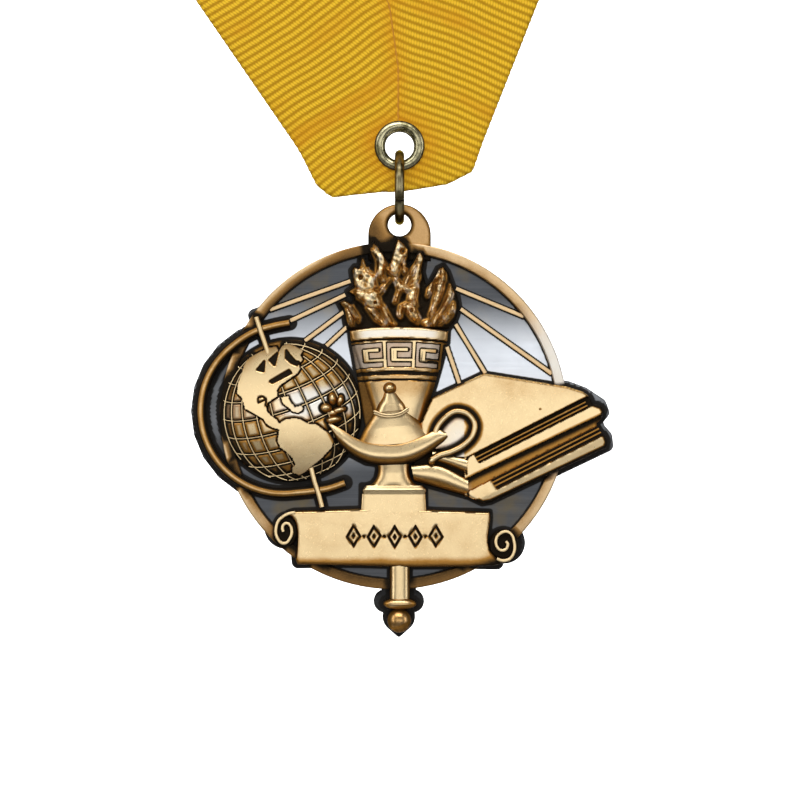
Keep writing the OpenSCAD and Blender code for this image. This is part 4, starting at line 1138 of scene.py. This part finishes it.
def scroll_rule(p, inset):
    cuts = []
    for x in LOZENGES:
        edge = np.abs(p[:, 0] - x) / 1.15 + np.abs(p[:, 1] - MARKS_Y) / 1.8
        cuts += [fade(np.abs(edge - 0.80), 0.13, 0.21), fade(edge, 0.20, 0.32)]
    cuts += [fade(np.hypot(p[:, 0] - x, p[:, 1] - MARKS_Y), 0.20, 0.30) for x in DOTS]
    cut = most(*cuts)
    # darker towards the lower edge and the lower right corner: painted shade
    low = ramp(p[:, 1], -20.2, -21.9)
    corner = ramp(p[:, 0] - 0.8 * p[:, 1], 28.0, 33.5) * 0.6
    z = 3.5 - 0.0012 * p[:, 0] ** 2 + rounded(inset, 0.4, 0.35) - 0.22 * cut
    return z, np.maximum(cut, 0.04 + 0.45 * low + corner + 0.2 * ramp(inset, 0.45, 0.05))


def curl_rule(p, inset):
    return 3.1 + rounded(inset, 0.5, 0.5), np.ones(len(p))


relief("scroll_face", [SCROLL], scroll_rule, 0.19)
for i, curl in enumerate([(-15.8, -16.8, 1.75, 2.35), (16.0, -18.85, 2.2, 2.25)]):
    relief(f"scroll_curl_{i}", [note(oval(*curl))], curl_rule, 0.25)
SHEET_ENDS = [
    [(-14.44, -14.09), (-15.07, -14.18), (-15.58, -14.34), (-16.21, -14.7), (-16.7, -15.1),
     (-17.0, -15.64), (-17.16, -16.2), (-17.22, -17.09), (-16.97, -17.85), (-16.59, -18.35),
     (-16.15, -18.57), (-15.64, -18.45), (-15.2, -17.91), (-14.95, -17.34), (-14.91, -16.71),
     (-15.04, -16.17), (-15.36, -15.73), (-15.74, -15.64), (-16.12, -15.89), (-16.26, -16.46),
     (-16.15, -16.87)],
    [(15.0, -20.79), (15.56, -21.04), (16.01, -21.09), (16.68, -20.93), (17.18, -20.48),
     (17.48, -19.89), (17.58, -19.06), (17.48, -18.28), (17.26, -17.55), (16.9, -17.08),
     (16.28, -16.85), (15.56, -17.08), (15.06, -17.55), (14.83, -18.28), (14.95, -18.97),
     (15.36, -19.48), (15.89, -19.61), (16.37, -19.36), (16.54, -19.0), (16.52, -18.55),
     (16.31, -18.28)]]
SHEET_WIDTHS = [[0.9, 0.6, 0.45, 0.5, 0.8, 1.3, 1.2, 0.8, 0.7, 0.7, 0.7],
                [0.6, 0.6, 0.65, 0.6, 0.55, 0.8, 1.1, 1.2, 1.1, 0.9, 1.0]]
bars("scroll_spirals", [lifted(spline(end, 110), 3.72) for end in SHEET_ENDS], 0.44, 0.9,
     rounding=0.12, dark=0.6,
     tapers=[spread_even(widths, np.linspace(0, 1, 111)) for widths in SHEET_WIDTHS])

# %% [markdown]
# ## The rays of light
# Eight thin raised rays run from the torch towards the rim. They are straight bars with a flat top,
# so the same tree makes them with almost no rounding.

# %% Rays
# each ray: angle and radius of the outer end, angle and radius of the inner end
RAYS = [(139.5, 0.94, 108, 0.815), (137.5, 0.81, 112, 0.75), (140, 0.67, 115.5, 0.665),
        (134, 0.56, 117.5, 0.58), (37.5, 0.94, 64, 0.815), (15, 0.94, 58, 0.725),
        (25, 0.58, 56, 0.635), (26.5, 0.42, 52.5, 0.50)]
RAY_TOP = PLATE + 0.3


def around(angle, share):
    a = math.radians(angle)
    return DISC_R * share * math.cos(a), DISC_R * share * math.sin(a), RAY_TOP


BOLD = list(NEAR)           # the motifs but not the rays leave a broad dark line
ray_lines = [note([around(a, ra), around(b, rb)], False, 0.3) for a, ra, b, rb in RAYS]
bars("light_rays", ray_lines, 0.56, 0.6, bronze_rim, rounding=0.08, dark=0.4)

# %% [markdown]
# ## The field, the rim and the lug
# The field is the flat disc behind the motifs. The rim is one ring-shaped bar with a flat, slightly
# rounded top. The lug on top of it is a half-round tab with the hole for the jump ring.

# %% Field
def field_rule(p, inset):
    near = np.maximum(patina_and_shadow_near(p, 0.30, 0.62, BOLD), patina_and_shadow_near(p, 0.10, 0.28))
    return np.full(len(p), PLATE), np.maximum(near, fade(inset, 0.16, 0.38))


relief("brushed_field", [ring(0, 0, RIM_IN + 0.05, 200)], field_rule, 0.20, slate_field)


# %% Rim
def turn_of(p):
    return np.degrees(np.arctan2(p[:, 1], p[:, 0])) % 360


def rim_shade(p):
    across = p[:, 0] + 0.6
    left_of_fire = 0.95 - 0.6 * ramp(-across, 3.6, 4.6) - 0.35 * ramp(-across, 5, 13)
    fire_side = np.where(across < 0, left_of_fire, 0.95 - 0.95 * ramp(across, 2.7, 3.5))
    left = fade(np.abs(turn_of(p) - 150), 40, 75)
    low = fade(np.abs(turn_of(p) - 268), 30, 62)
    inner = fade(np.hypot(*p.T), 24.3, 24.7)
    return most(fire_side * (p[:, 1] > 0), (0.22 + 0.36 * left) * inner,
                0.42 * low + 0.2 * inner * low, patina_and_shadow_near(p, 0.12, 0.6, BOLD))


def rim_highlight(p):
    # a painted highlight on the rim's right side
    turn = (turn_of(p) + 180) % 360 - 180
    return 0.75 * fade(np.abs(turn - 8), 14, 42)


rim_line = lifted(ring(0, 0, (DISC_R + RIM_IN) / 2 - 0.01, 180), RIM_TOP)
rim = bars("medal_rim", [rim_line], DISC_R - RIM_IN, RIM_TOP - FOOT, bronze_rim, rounding=0.22,
           dark=0.55, closed=True, corner=60)
add_attribute(rim, "patina_and_shade", rim_shade)
add_attribute(rim, "wear_and_highlight", rim_highlight)

# %% Lug
LUG_X, LUG_Y, LUG_R, LUG_TOP = 0.8, 26.4, 4.6, 2.2
HOLE_Y, HOLE_R = 28.0, 1.7
BACK = 0.3                  # thickness of the plain back's skin, on which lug and back plate stand
lug_arc = np.radians(np.linspace(0, 180, 40))
LUG = np.vstack([np.stack([LUG_X + LUG_R * np.cos(lug_arc), LUG_Y + LUG_R * np.sin(lug_arc)], 1),
                 [(-3.8, 22.6), (5.4, 22.6)]])


def lug_rule(p, inset):
    hole = np.hypot(p[:, 0] - LUG_X, p[:, 1] - HOLE_Y) - HOLE_R
    # darker towards the left side: painted shade; the foot, where the lug meets the disc, gets
    # patina and a painted shadow
    left = ramp(p[:, 0] + 0.5 * p[:, 1], 13.2, 10.6)
    low = 26.7 + 0.5 * np.sin(p[:, 0] * 1.3 + 0.6) - 2.0 * ramp(p[:, 0], 1.5, 3.4)
    foot = np.maximum(0.9 * ramp(p[:, 1], low + 1.0, low - 1.6), patina_and_shadow_near(p, 0.3, 1.1, BOLD))
    return LUG_TOP + rounded(inset, 0.4, 0.3), most(
        0.14 + 0.40 * left, foot, 0.7 * ramp(hole, 0.8, 0.1), 0.45 * ramp(inset, 0.6, 0.1))


relief("medal_lug", [LUG, ring(LUG_X, HOLE_Y, HOLE_R, 64)], lug_rule, 0.22, bronze_lug, BACK)

# %% [markdown]
# ## The stepped back plate
# Where a motif reaches past the disc, a lower plate runs round it. Its outline is the whole medal's
# outline, so it is taken from a copy of the frame's own solid: the copy is cut just under the step
# and the edge of the cut is followed round. The copy itself is thrown away. The medal's plain back
# is a thin skin of the same outline, brown bronze that darkens towards its rounded edge.

# %% Follow the cut outline
def cut_loops(node, height):
    work = bmesh.new()
    work.from_mesh(node.data)
    bmesh.ops.remove_doubles(work, verts=work.verts, dist=1e-6)
    y = (FACE_ORIGIN[1] - height) * MM
    cut = bmesh.ops.bisect_plane(work, geom=work.verts[:] + work.edges[:] + work.faces[:],
                                 dist=1e-7, plane_co=(0, y, 0), plane_no=(0, 1, 0),
                                 clear_inner=True)
    edges = [e for e in cut["geom_cut"] if isinstance(e, bmesh.types.BMEdge)]
    joined = {}
    for edge in edges:
        a, b = edge.verts
        joined.setdefault(a, []).append(b)
        joined.setdefault(b, []).append(a)
    loops, seen = [], set()
    for start in joined:
        if start in seen:
            continue
        loop, here, last = [], start, None
        while here not in seen:
            seen.add(here)
            loop.append((here.co.x / MM - FACE_ORIGIN[0], here.co.z / MM - FACE_ORIGIN[2]))
            onward = [v for v in joined[here] if v is not last]
            last, here = here, onward[0]
        loops.append(np.array(loop))
    work.free()
    return sorted(loops, key=lambda loop: -np.ptp(loop[:, 0]))


medal_loops = cut_loops(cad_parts["medallion"], STEP - 0.02)
print([(len(loop), np.ptp(loop, axis=0).round(2)) for loop in medal_loops])


# %% Back plate and plain back
def plate_rule(p, inset):
    return STEP + rounded(inset, 0.35, 0.3), np.maximum(patina_and_shadow_near(p, 0.3, 0.9), 0.56)


def back_rule(p, inset):
    return -rounded(inset, 0.35, 0.22), 0.44 + 0.35 * fade(inset, 0.0, 2.4)


relief("back_plate", medal_loops[:2], plate_rule, 0.34, slate_field, BACK)
relief("plain_back", medal_loops[:2], back_rule, 0.5, bronze_rim, BACK)
MEDAL_PIECES = [o for o in bpy.context.scene.collection.all_objects
                if o.type == "MESH" and "patina_and_shade" in o.data.attributes]
print(len(MEDAL_PIECES), "pieces of the medal")

# %% [markdown]
# ## Eyelet and jump ring
# The eyelet is a brass tube whose ends were rolled over the cloth, so its profile is turned round
# the hole's axis. The jump ring is round wire, bent to a circle and closed with a butt joint that
# shows as a fine dark cut. Both get a brass finish with dull spots.

# %% Brass finish
def brass(light, dark, smooth):
    def recipe(net):
        place, patina_and_shade = net.place(), net.value("patina_and_shade")
        clouds = net.noise(place, 700, 3)
        grain = net.noise(place, 9000, 2)
        dark_share = net.between(patina_and_shade + (grain - 0.5) * 0.25, 0.2, 0.9)
        tone = net.between(clouds, 0.38, 0.66)
        return {
            "Base Color": net.blend(dark_share, net.blend(tone, light, dark), (0.025, 0.018, 0.01, 1)),
            "Metallic": 1 - dark_share * 0.4,
            "Specular Tint": (0.30, 0.25, 0.15, 1),
            "Roughness": smooth + clouds * 0.12 + dark_share * 0.3,
            "Normal": net.bump(grain, 0.00001, 0.3)}
    return recipe


eyelet_brass = finish("eyelet_brass", brass((0.60, 0.55, 0.34, 1), (0.14, 0.125, 0.055, 1), 0.20))
ring_brass = finish("ring_brass", brass((0.34, 0.29, 0.16, 1), (0.10, 0.080, 0.035, 1), 0.24))


# %% Eyelet
FRONT, EYE_Z = -108.0, -314.0           # the eyelet's middle, round which the ribbon's tip lies
TURNS = 96
roll = spline([(3.66, -0.72), (3.60, -0.90), (3.30, -1.13), (2.85, -1.22), (2.45, -1.05),
               (2.2, -0.65), (2.1, 0.0), (2.2, 0.7), (2.5, 1.08), (2.95, 1.2), (3.4, 1.1),
               (3.62, 0.95), (3.66, 0.78)], 44)
channel = [(3.4, 0.75), (2.57, 0.75), (2.57, -0.75), (3.4, -0.75)]
# painted shade inside the barrel and on the rolled outer edge; the channel hidden under the cloth
# is dark too
roll_shade = (0.75 * ramp(np.abs(roll[:, 1]), 0.95, 0.4) * (roll[:, 0] < 2.5)
             + 0.8 * ramp(roll[:, 0], 3.2, 3.6))
profile, profile_shade = [*roll, *channel], [*roll_shade, *np.full(len(channel), 0.9)]
eyelet_points = [(r * math.cos(a), FRONT + y, EYE_Z + r * math.sin(a))
                 for a in np.arange(TURNS) * 2 * math.pi / TURNS for r, y in profile]
eyelet = make("rolled_eyelet", np.array(eyelet_points), tube_faces(TURNS, len(profile), True),
              np.tile(profile_shade, TURNS), eyelet_brass, 50, from_millimetres)

# %% Jump ring
RING = np.array([0.0, FRONT, -320.05])
COIL_R, WIRE_R, WIRE_SIDES, RING_PARTS = 4.8, 0.7, 20, 180
CUT_TURN, HALF_CUT = math.radians(206), 0.012          # where the butt joint is, and its width
ring_points, ring_recess = [], []
for i, a in enumerate(CUT_TURN + np.linspace(HALF_CUT, 2 * math.pi - HALF_CUT, RING_PARTS + 1)):
    out = np.array([0, math.cos(a), math.sin(a)])
    from_cut = min(i, RING_PARTS - i)
    r = WIRE_R - 0.06 * (from_cut == 0)
    for b in np.arange(WIRE_SIDES) * 2 * math.pi / WIRE_SIDES:
        ring_points.append(RING + out * (COIL_R + r * math.cos(b)) + (r * math.sin(b), 0, 0))
        ring_recess.append(0.9 if from_cut < 1 else 0.35 if from_cut < 4 else 0.08)
jump_ring = make("butt_jointed_ring", np.array(ring_points),
                 tube_faces(RING_PARTS + 1, WIRE_SIDES), np.array(ring_recess), ring_brass, 60,
                 from_millimetres)

# %% [markdown]
# ## The neck ribbon
# A ribbon keeps its width and its length, so it is laid out as rows across, along the same way that
# the frame's solid takes. Every rib of the cloth has two rows, one on its crest and one in the
# groove beside it. Near the eyelet the two ends meet at a mitred seam: each row of the left end
# stops where it reaches the seam, and so does each row of the right end. The UV map runs across and
# along the ribbon in metres, so the weave's colours follow the cloth.

# %% The ribbon's way
WIDTH = 25.4
LEAN = {-1: 34.5, 1: 21.5}          # degrees between the hang and the left and the right end
TAIL = 6.8                          # the tip hangs this far below the eyelet's middle
LOOP_HALF, LOOP_H = 78.0, 290.0     # half the width and the height of the loop round the neck
# stops on the way up, each four shares: out to the side, back, up to the nape, and of the twist
HIGH_ROUTE = [(1.00, 0.16, 0.66, 0.18), (1.00, 0.40, 0.86, 0.60), (0.82, 0.74, 0.97, 0.90),
              (0.45, 0.95, 1.00, 1.00)]
ROUTE = {-1: [(0.64, 0.01, 0.22, 0.00), (0.90, 0.05, 0.43, 0.04)] + HIGH_ROUTE,
         1: [(0.43, 0.01, 0.22, 0.00), (0.73, 0.05, 0.43, 0.04), (0.96, 0.16, 0.66, 0.18)]
         + HIGH_ROUTE[1:]}


def along(side):
    a = math.radians(LEAN[side])
    return np.array([side * math.sin(a), math.cos(a)])


def across_way(side):
    a = math.radians(LEAN[side])
    return np.array([side * math.cos(a), -math.sin(a)])


CORNER = {-1: np.array([-WIDTH * 0.43, -TAIL * 0.9]), 1: np.array([WIDTH * 0.41, -TAIL * 0.58])}
inner = {side: CORNER[side] - WIDTH * across_way(side) for side in (-1, 1)}
meet = np.linalg.solve(np.stack([along(-1), -along(1)], 1), inner[1] - inner[-1])
CROTCH = inner[-1] + along(-1) * meet[0]
print("the two ends part", round(float(CROTCH[1]), 1), "mm above the eyelet's middle")


def leg(side):
    rows = []
    for s in (0.05, 0.5, 1.1):
        p = CROTCH + across_way(side) * WIDTH / 2 + along(side) * WIDTH * s
        rows.append((p[0], FRONT, EYE_Z + p[1], 0))
    for out, back, up, turn in ROUTE[side]:
        rows.append((side * out * LOOP_HALF, FRONT * (1 - back), -LOOP_H * (1 - up), turn))
    return rows


def loop_path(step):
    path = smooth_path(np.array(leg(-1) + [(0, 0.5, 0, 1)] + leg(1)[::-1]), 60)
    way = lengths_along(path[:, :3])
    return in_equal_steps(path, way, int(round(way[-1] / step))), way[-1]


RIB = 1.05
path, free_length = loop_path(RIB / 2)
print("free stretch of the ribbon", round(free_length, 1), "mm")

# %% Rows across the ribbon
SEAM = np.array([(-0.2, -12.0), (-0.2, 11.5), (-1.4, 20.0), CROTCH, CROTCH + (0, 30)])
TIP = np.array([(-12.2, -5.7), (-11.4, -6.3), (-10.6, -7.0), (-9.9, -7.45), (-9.2, -7.5),
                (-7.1, -7.25), (-1.5, -6.8), (1.5, -6.5),
                (3.2, -6.3), (7.0, -5.75), CORNER[1], (11.2, -3.0)])
OVERLAP = 0.05 * WIDTH          # the flat ends reach this far up into the free stretch


def within(side, points):
    seam_x = np.interp(points[:, 1], SEAM[:, 1], SEAM[:, 0])
    bottom = np.interp(points[:, 0], TIP[:, 0], TIP[:, 1])
    return ((points[:, 0] - seam_x) * side > 0.005) & (points[:, 1] > bottom)


def end_rows(side):
    """Each row: its outer and its far end, the way it faces, its place along and across."""
    rows = []
    start = meet[0 if side < 0 else 1] + OVERLAP
    for v in start - RIB / 2 * np.arange(int((start + 18) / (RIB / 2)), 0, -1):
        bow = 0.9 * fade(v, -1.0, 8.0) if side < 0 else 0.2 * fade(v, -1.0, 6.0)
        t = np.linspace(-bow, WIDTH, 5081)
        line = CORNER[side] + along(side) * v - across_way(side) * t[:, None]
        held = np.flatnonzero(within(side, line))
        if len(held) > 8:
            first, last = held[0], held[-1]
            outer, far = ((line[k, 0], FRONT, EYE_Z + line[k, 1]) for k in (first, last))
            rows.append((outer, far, (0, -1, 0), v, t[first], t[last]))
    return rows


def free_rows():
    rows = []
    way = np.gradient(path[:, :3], axis=0)
    way /= np.linalg.norm(way, axis=1)[:, None]
    half = np.argmin(np.abs(path[:, 0]) + 1000 * (path[:, 2] < -20))
    for i, row in enumerate(path):
        a = across_way(-1 if i < half else 1)
        flat = np.array([a[0], 0, a[1]])
        turn = min(1, max(0, row[3]))
        raw = flat + (np.array([0, 0.15, -1]) - flat) * turn
        raw -= way[i] * (raw @ way[i])
        raw /= np.linalg.norm(raw)
        rows.append((row[:3] + raw * WIDTH / 2, row[:3] - raw * WIDTH / 2,
                     np.cross(way[i], raw), meet[0] + OVERLAP + i * RIB / 2, 0, WIDTH))
    return rows


left_rows, right_rows, loop_rows = end_rows(-1), end_rows(1), free_rows()
print(len(left_rows), len(loop_rows), len(right_rows), "rows; faces at the ends",
      np.round(loop_rows[0][2], 2), np.round(loop_rows[-1][2], 2))


# %% Grosgrain finish
THREAD, TWILL = 0.00042, 0.0016          # width of one thread, and height of its slant, in metres


def grosgrain(net):
    place, tint = net.node("ShaderNodeUVMap", uv_map="weave"), net.value("tint")
    width = net.node("ShaderNodeSeparateXYZ", {"Vector": place}, out="X")
    length = Wire(net, width.socket.node.outputs["Y"])
    rib = net.math("COSINE", length * (2 * math.pi / (RIB * MM))) * -0.5 + 0.5
    threads = net.streaks(place, (5200, 1300, 1), 2)
    clouds = net.noise(place, 90, 3)
    bands = net.streaks(place, (8, 190, 1), 2)
    step = net.math("FLOOR", length * (1 / (RIB * MM)))
    beads = net.math("SINE", width * (2 * math.pi / THREAD) + step * 2.4
                     + length * (2 * math.pi / TWILL) + threads * 1.2)
    # lighter on each rib's crest and in small beads along the threads, darker in the grooves:
    # painted light and shade on the weave
    tone = net.between(rib * (beads * 0.26 + 0.60) + threads * 0.30, 0.08, 0.80)
    golden = net.blend(tone, (0.52, 0.255, 0.003, 1), (1.0, 0.62, 0.030, 1))
    warm = net.between(bands * 0.55 + clouds * 0.45, 0.50, 0.66) * 0.40 + tint * 0.55
    return {
        "Base Color": net.blend(warm, golden, (0.72, 0.27, 0.004, 1)),
        "Roughness": 0.55 + threads * 0.2,
        "Specular IOR Level": 0.15, "Sheen Weight": 0.04, "Sheen Roughness": 0.4,
        "Normal": net.bump(threads * 0.4 + beads * 0.35, 0.00006, 0.6)}


ribbon_cloth = finish("golden_grosgrain", grosgrain)

# %% Ribbon mesh
CLOTH_HALF, SEWN_MORE, CREST = 0.27, 0.38, 0.06


def half_thick(from_end):
    """Half the cloth's thickness, which is more near the tip, where it is sewn double."""
    return CLOTH_HALF + SEWN_MORE * fade(from_end, meet[0] + 2, meet[0] + 16)


rows = left_rows + loop_rows + right_rows[::-1]
total = (meet[0] + meet[1] + 2 * OVERLAP) + free_length
kinds = [0] * len(left_rows) + [1] * len(loop_rows) + [2] * len(right_rows)
shares = np.concatenate([[0, 0.008, 0.025], np.linspace(0.07, 0.93, 10), [0.975, 0.992, 1]])
COLS = len(shares)
points, uv, tint = [], [], []
for k, ((outer, far, face, v, first, last), kind) in enumerate(zip(rows, kinds)):
    outer, far, face = (np.array(q, float) for q in (outer, far, face))
    here = v if kind < 2 else total - v
    from_end = min(here, total - here)
    crest = CREST * (1 if k % 2 else -1)
    t = first + (last - first) * shares
    seamed = last < WIDTH - 0.1 and from_end < meet[0] + 12
    side_gap = np.minimum(t - first, FAR_AWAY if seamed else last - t)
    round_off = np.sqrt(np.clip(1 - (1 - np.clip(side_gap / 0.35, 0, 1)) ** 2, 0, 1))
    ruffle = 0.07 * (k % 2) * (outer - far) / np.linalg.norm(outer - far)
    line = outer + ruffle * (1 - shares[:, None]) ** 8 + (far - outer) * shares[:, None]
    # a deeper orange round the eyelet, along the seam and in one band of the left end
    eye = np.hypot(line[:, 0], line[:, 2] - EYE_Z)
    seam_away = np.where(from_end < meet[0] + 4, np.abs(last - t), FAR_AWAY)
    deeper_orange = np.maximum(0.9 * fade(eye, 3.4, 7.5), 0.55 * fade(seam_away, 0.2, 2.6))
    deeper_orange = deeper_orange * (from_end < meet[0] + 12)
    if kind == 0:
        deeper_orange = np.maximum(deeper_orange, 0.75 * fade(abs(v - 7.9), 0.7, 1.9))
    # the ribs wander a little where the two ends are sewn
    rise = along(-1 if here < total / 2 else 1)
    wander = 0.20 * np.sin(t * 0.30 + here * 0.09) + 0.03 * np.sin(t * 0.95 - here * 0.2)
    wander = wander * fade(from_end, 32, 60) * fade(seam_away, 2.5, 0.3)
    line = line + wander[:, None] * (rise[0], 0, rise[1])
    thick = (half_thick(from_end) + crest) * (0.25 + 0.75 * round_off)
    for way in (1, -1):
        points.append(line + face * way * thick[:, None])
        uv.append(lifted(t * MM, k * RIB / 2 * MM))
        tint.append(deeper_orange)
points, uv, tint = np.vstack(points), np.vstack(uv), np.concatenate(tint)
print(len(rows), "rows of", COLS, "points on either side")

# %% Faces, weave map and tint
faces = []
for k in range(len(rows) - 1):
    a, b = 2 * k * COLS, 2 * (k + 1) * COLS
    for j in range(COLS - 1):
        faces.append((a + j, a + j + 1, b + j + 1, b + j))
        faces.append((a + COLS + j + 1, a + COLS + j, b + COLS + j, b + COLS + j + 1))
    faces.append((a + COLS, a, b, b + COLS))
    faces.append((a + COLS - 1, a + 2 * COLS - 1, b + 2 * COLS - 1, b + COLS - 1))
for a in (0, 2 * (len(rows) - 1) * COLS):
    faces += [(a + j, a + j + 1, a + COLS + j + 1, a + COLS + j) for j in range(COLS - 1)]
mesh = bpy.data.meshes.new("golden_ribbon")
mesh.from_pydata(from_millimetres(points).tolist(), [], faces)
corners = np.empty(len(mesh.loops), np.int32)
mesh.loops.foreach_get("vertex_index", corners)
weave = mesh.uv_layers.new(name="weave")
weave.data.foreach_set("uv", uv[corners].astype(np.float32).ravel())
write_values(mesh, "tint", tint)
face_outwards(mesh)
mesh.shade_smooth()
mesh.materials.append(ribbon_cloth)
ribbon = in_scene("golden_ribbon", mesh)
print("ribbon", triangles(mesh), "triangles,", round(total, 1), "mm long")

# %% [markdown]
# The eyelet needs its hole. A short round cutter goes through both layers of cloth by a boolean
# modifier, which is then applied, and the cutter is thrown away.

# %% Hole for the eyelet
CUTTER_R, CUTTER_LENGTH = 0.00262, 0.006
bpy.ops.mesh.primitive_cylinder_add(radius=CUTTER_R, depth=CUTTER_LENGTH, vertices=64,
                                    location=(0, FRONT * MM, EYE_Z * MM),
                                    rotation=(math.pi / 2, 0, 0))
cutter = bpy.context.object
hole = ribbon.modifiers.new("hole", "BOOLEAN")
hole.operation, hole.object, hole.solver = "DIFFERENCE", cutter, "EXACT"
pierced = bpy.data.meshes.new_from_object(ribbon.evaluated_get(
    bpy.context.evaluated_depsgraph_get()))
ribbon.modifiers.clear()
ribbon.data = pierced
bpy.data.objects.remove(cutter)
area = sum(p.area for p in pierced.polygons)
print("pierced ribbon", triangles(pierced), "triangles,", round(area * 5e3, 1),
      "square centimetres a side")

# %% [markdown]
# The mitred seam is sewn. Its thread shows as an orange line above and below the eyelet: short
# stitches, each a small swell of one thin round thread.

# %% Seam thread
STITCH, THREAD_R, THREAD_SIDES = 1.3, 0.15, 10


def seam_thread(name, low, high):
    ys = np.arange(low, high, 0.12)
    xs = np.interp(ys, SEAM[:, 1], SEAM[:, 0])
    radii = THREAD_R * (0.75 + 0.25 * np.abs(np.sin(ys * math.pi / STITCH)))
    turn = np.arange(THREAD_SIDES) * 2 * math.pi / THREAD_SIDES
    points = [(x + r * math.cos(t), FRONT - half + 0.05 + r * math.sin(t), EYE_Z + y)
              for x, y, r, half in zip(xs, ys, radii, half_thick(ys + TAIL)) for t in turn]
    return make(name, np.array(points), tube_faces(len(ys), THREAD_SIDES), 0, thread_cotton, 60,
                from_millimetres)


def cotton(net):
    fibres = net.streaks(net.place(), (6000, 6000, 1500), 2)
    return {"Base Color": net.blend(fibres, (0.45, 0.16, 0.004, 1), (0.80, 0.36, 0.01, 1)),
            "Roughness": 0.7, "Normal": net.bump(fibres, 0.00003, 0.5)}


thread_cotton = finish("orange_cotton", cotton)
threads = [seam_thread("seam_thread_upper", 3.5, CROTCH[1] + 0.2),
           seam_thread("seam_thread_lower", -6.75, -3.5)]

# %% [markdown]
# ## What moves with what
# Every piece rides on the body of the solid that it stands for.

# %% Ride and replace
for piece in MEDAL_PIECES:
    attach(piece, "medal")
    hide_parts("medallion")
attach(eyelet, "ribbon")
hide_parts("eyelet")
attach(jump_ring, "ring")
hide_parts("jump_ring")
for piece in threads:
    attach(piece, "ribbon")
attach(ribbon, "ribbon")
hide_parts("neck_ribbon")

# %% [markdown]
# ## Studio
# The medal hangs in front of a pale sweep, which is floor and wall in one curved sheet. The camera
# looks at it straight on with a long lens. Metal shows what surrounds it, so the light comes from a
# few large soft cards with darker room between them, which gives the bronze its bright and brown
# sides. The picture is shown with the plain standard curve, so that white paper stays white.

# %% Floor and backdrop
def pale(net):
    return {"Base Color": net.blend(net.noise(net.place(), 3, 2), (0.90, 0.90, 0.90, 1),
                                    (0.93, 0.93, 0.93, 1)),
            "Roughness": 0.9, "Specular IOR Level": 0.1}


sweep = [(-1.2, -1.30), (1.3, -1.30)]
sweep += [(1.3 + 0.3 * math.sin(a), -1.00 - 0.3 * math.cos(a))
          for a in np.linspace(0.1, math.pi / 2, 14)] + [(1.6, 1.2)]
stage_mesh = bpy.data.meshes.new("pale_sweep")
stage_mesh.from_pydata([(x, y, z) for y, z in sweep for x in (-1.5, 1.5)], [],
                       [(2 * i, 2 * i + 1, 2 * i + 3, 2 * i + 2) for i in range(len(sweep) - 1)])
stage_mesh.shade_smooth()
stage_mesh.materials.append(finish("pale_paper", pale))
backdrop = in_scene("pale_sweep", stage_mesh)

# %% Lights
CENTRE = Vector((0.00007, -0.108, -0.3512))


def card(name, place, width, height, power, aim=CENTRE):
    light = bpy.data.lights.new(name, "AREA")
    light.shape, light.size, light.size_y = "RECTANGLE", width, height
    light.energy = power
    lamp = in_scene(name, light)
    lamp.location = place
    lamp.rotation_euler = (aim - Vector(place)).to_track_quat("-Z", "Y").to_euler()


card("top_card", (-0.05, -0.50, 0.15), 0.7, 0.30, 2.6)
card("left_card", (-0.60, -0.45, -0.20), 0.25, 0.6, 1.1)
card("right_card", (0.62, -0.45, -0.25), 0.20, 0.5, 0.7)
card("front_card", (0.0, -1.10, -0.32), 1.2, 0.42, 2.0)
card("back_card", (0.0, 0.75, 0.35), 0.6, 0.4, 1.6)
card("wall_left", (-0.55, 1.05, -0.30), 0.5, 0.7, 13.0, aim=Vector((-0.35, 1.6, -0.35)))
card("wall_right", (0.55, 1.05, -0.30), 0.5, 0.7, 13.0, aim=Vector((0.35, 1.6, -0.35)))
world = bpy.data.worlds.new("room")
bpy.context.scene.world = world
world.use_nodes = True
room = world.node_tree.nodes["Background"].inputs
room["Color"].default_value, room["Strength"].default_value = (0.80, 0.80, 0.80, 1), 0.16
bpy.context.scene.view_settings.view_transform = "Standard"

# %% Camera
DISTANCE = 0.3239          # from the ribbon's front to the lens
lens = bpy.data.cameras.new("front_camera")
lens.lens, lens.sensor_width, lens.clip_start = 100, 36, 0.01
camera = in_scene("front_camera", lens)
camera.location = (CENTRE.x, -0.110 - DISTANCE, CENTRE.z)
camera.rotation_euler = (math.pi / 2, 0, 0)
bpy.context.scene.camera = camera
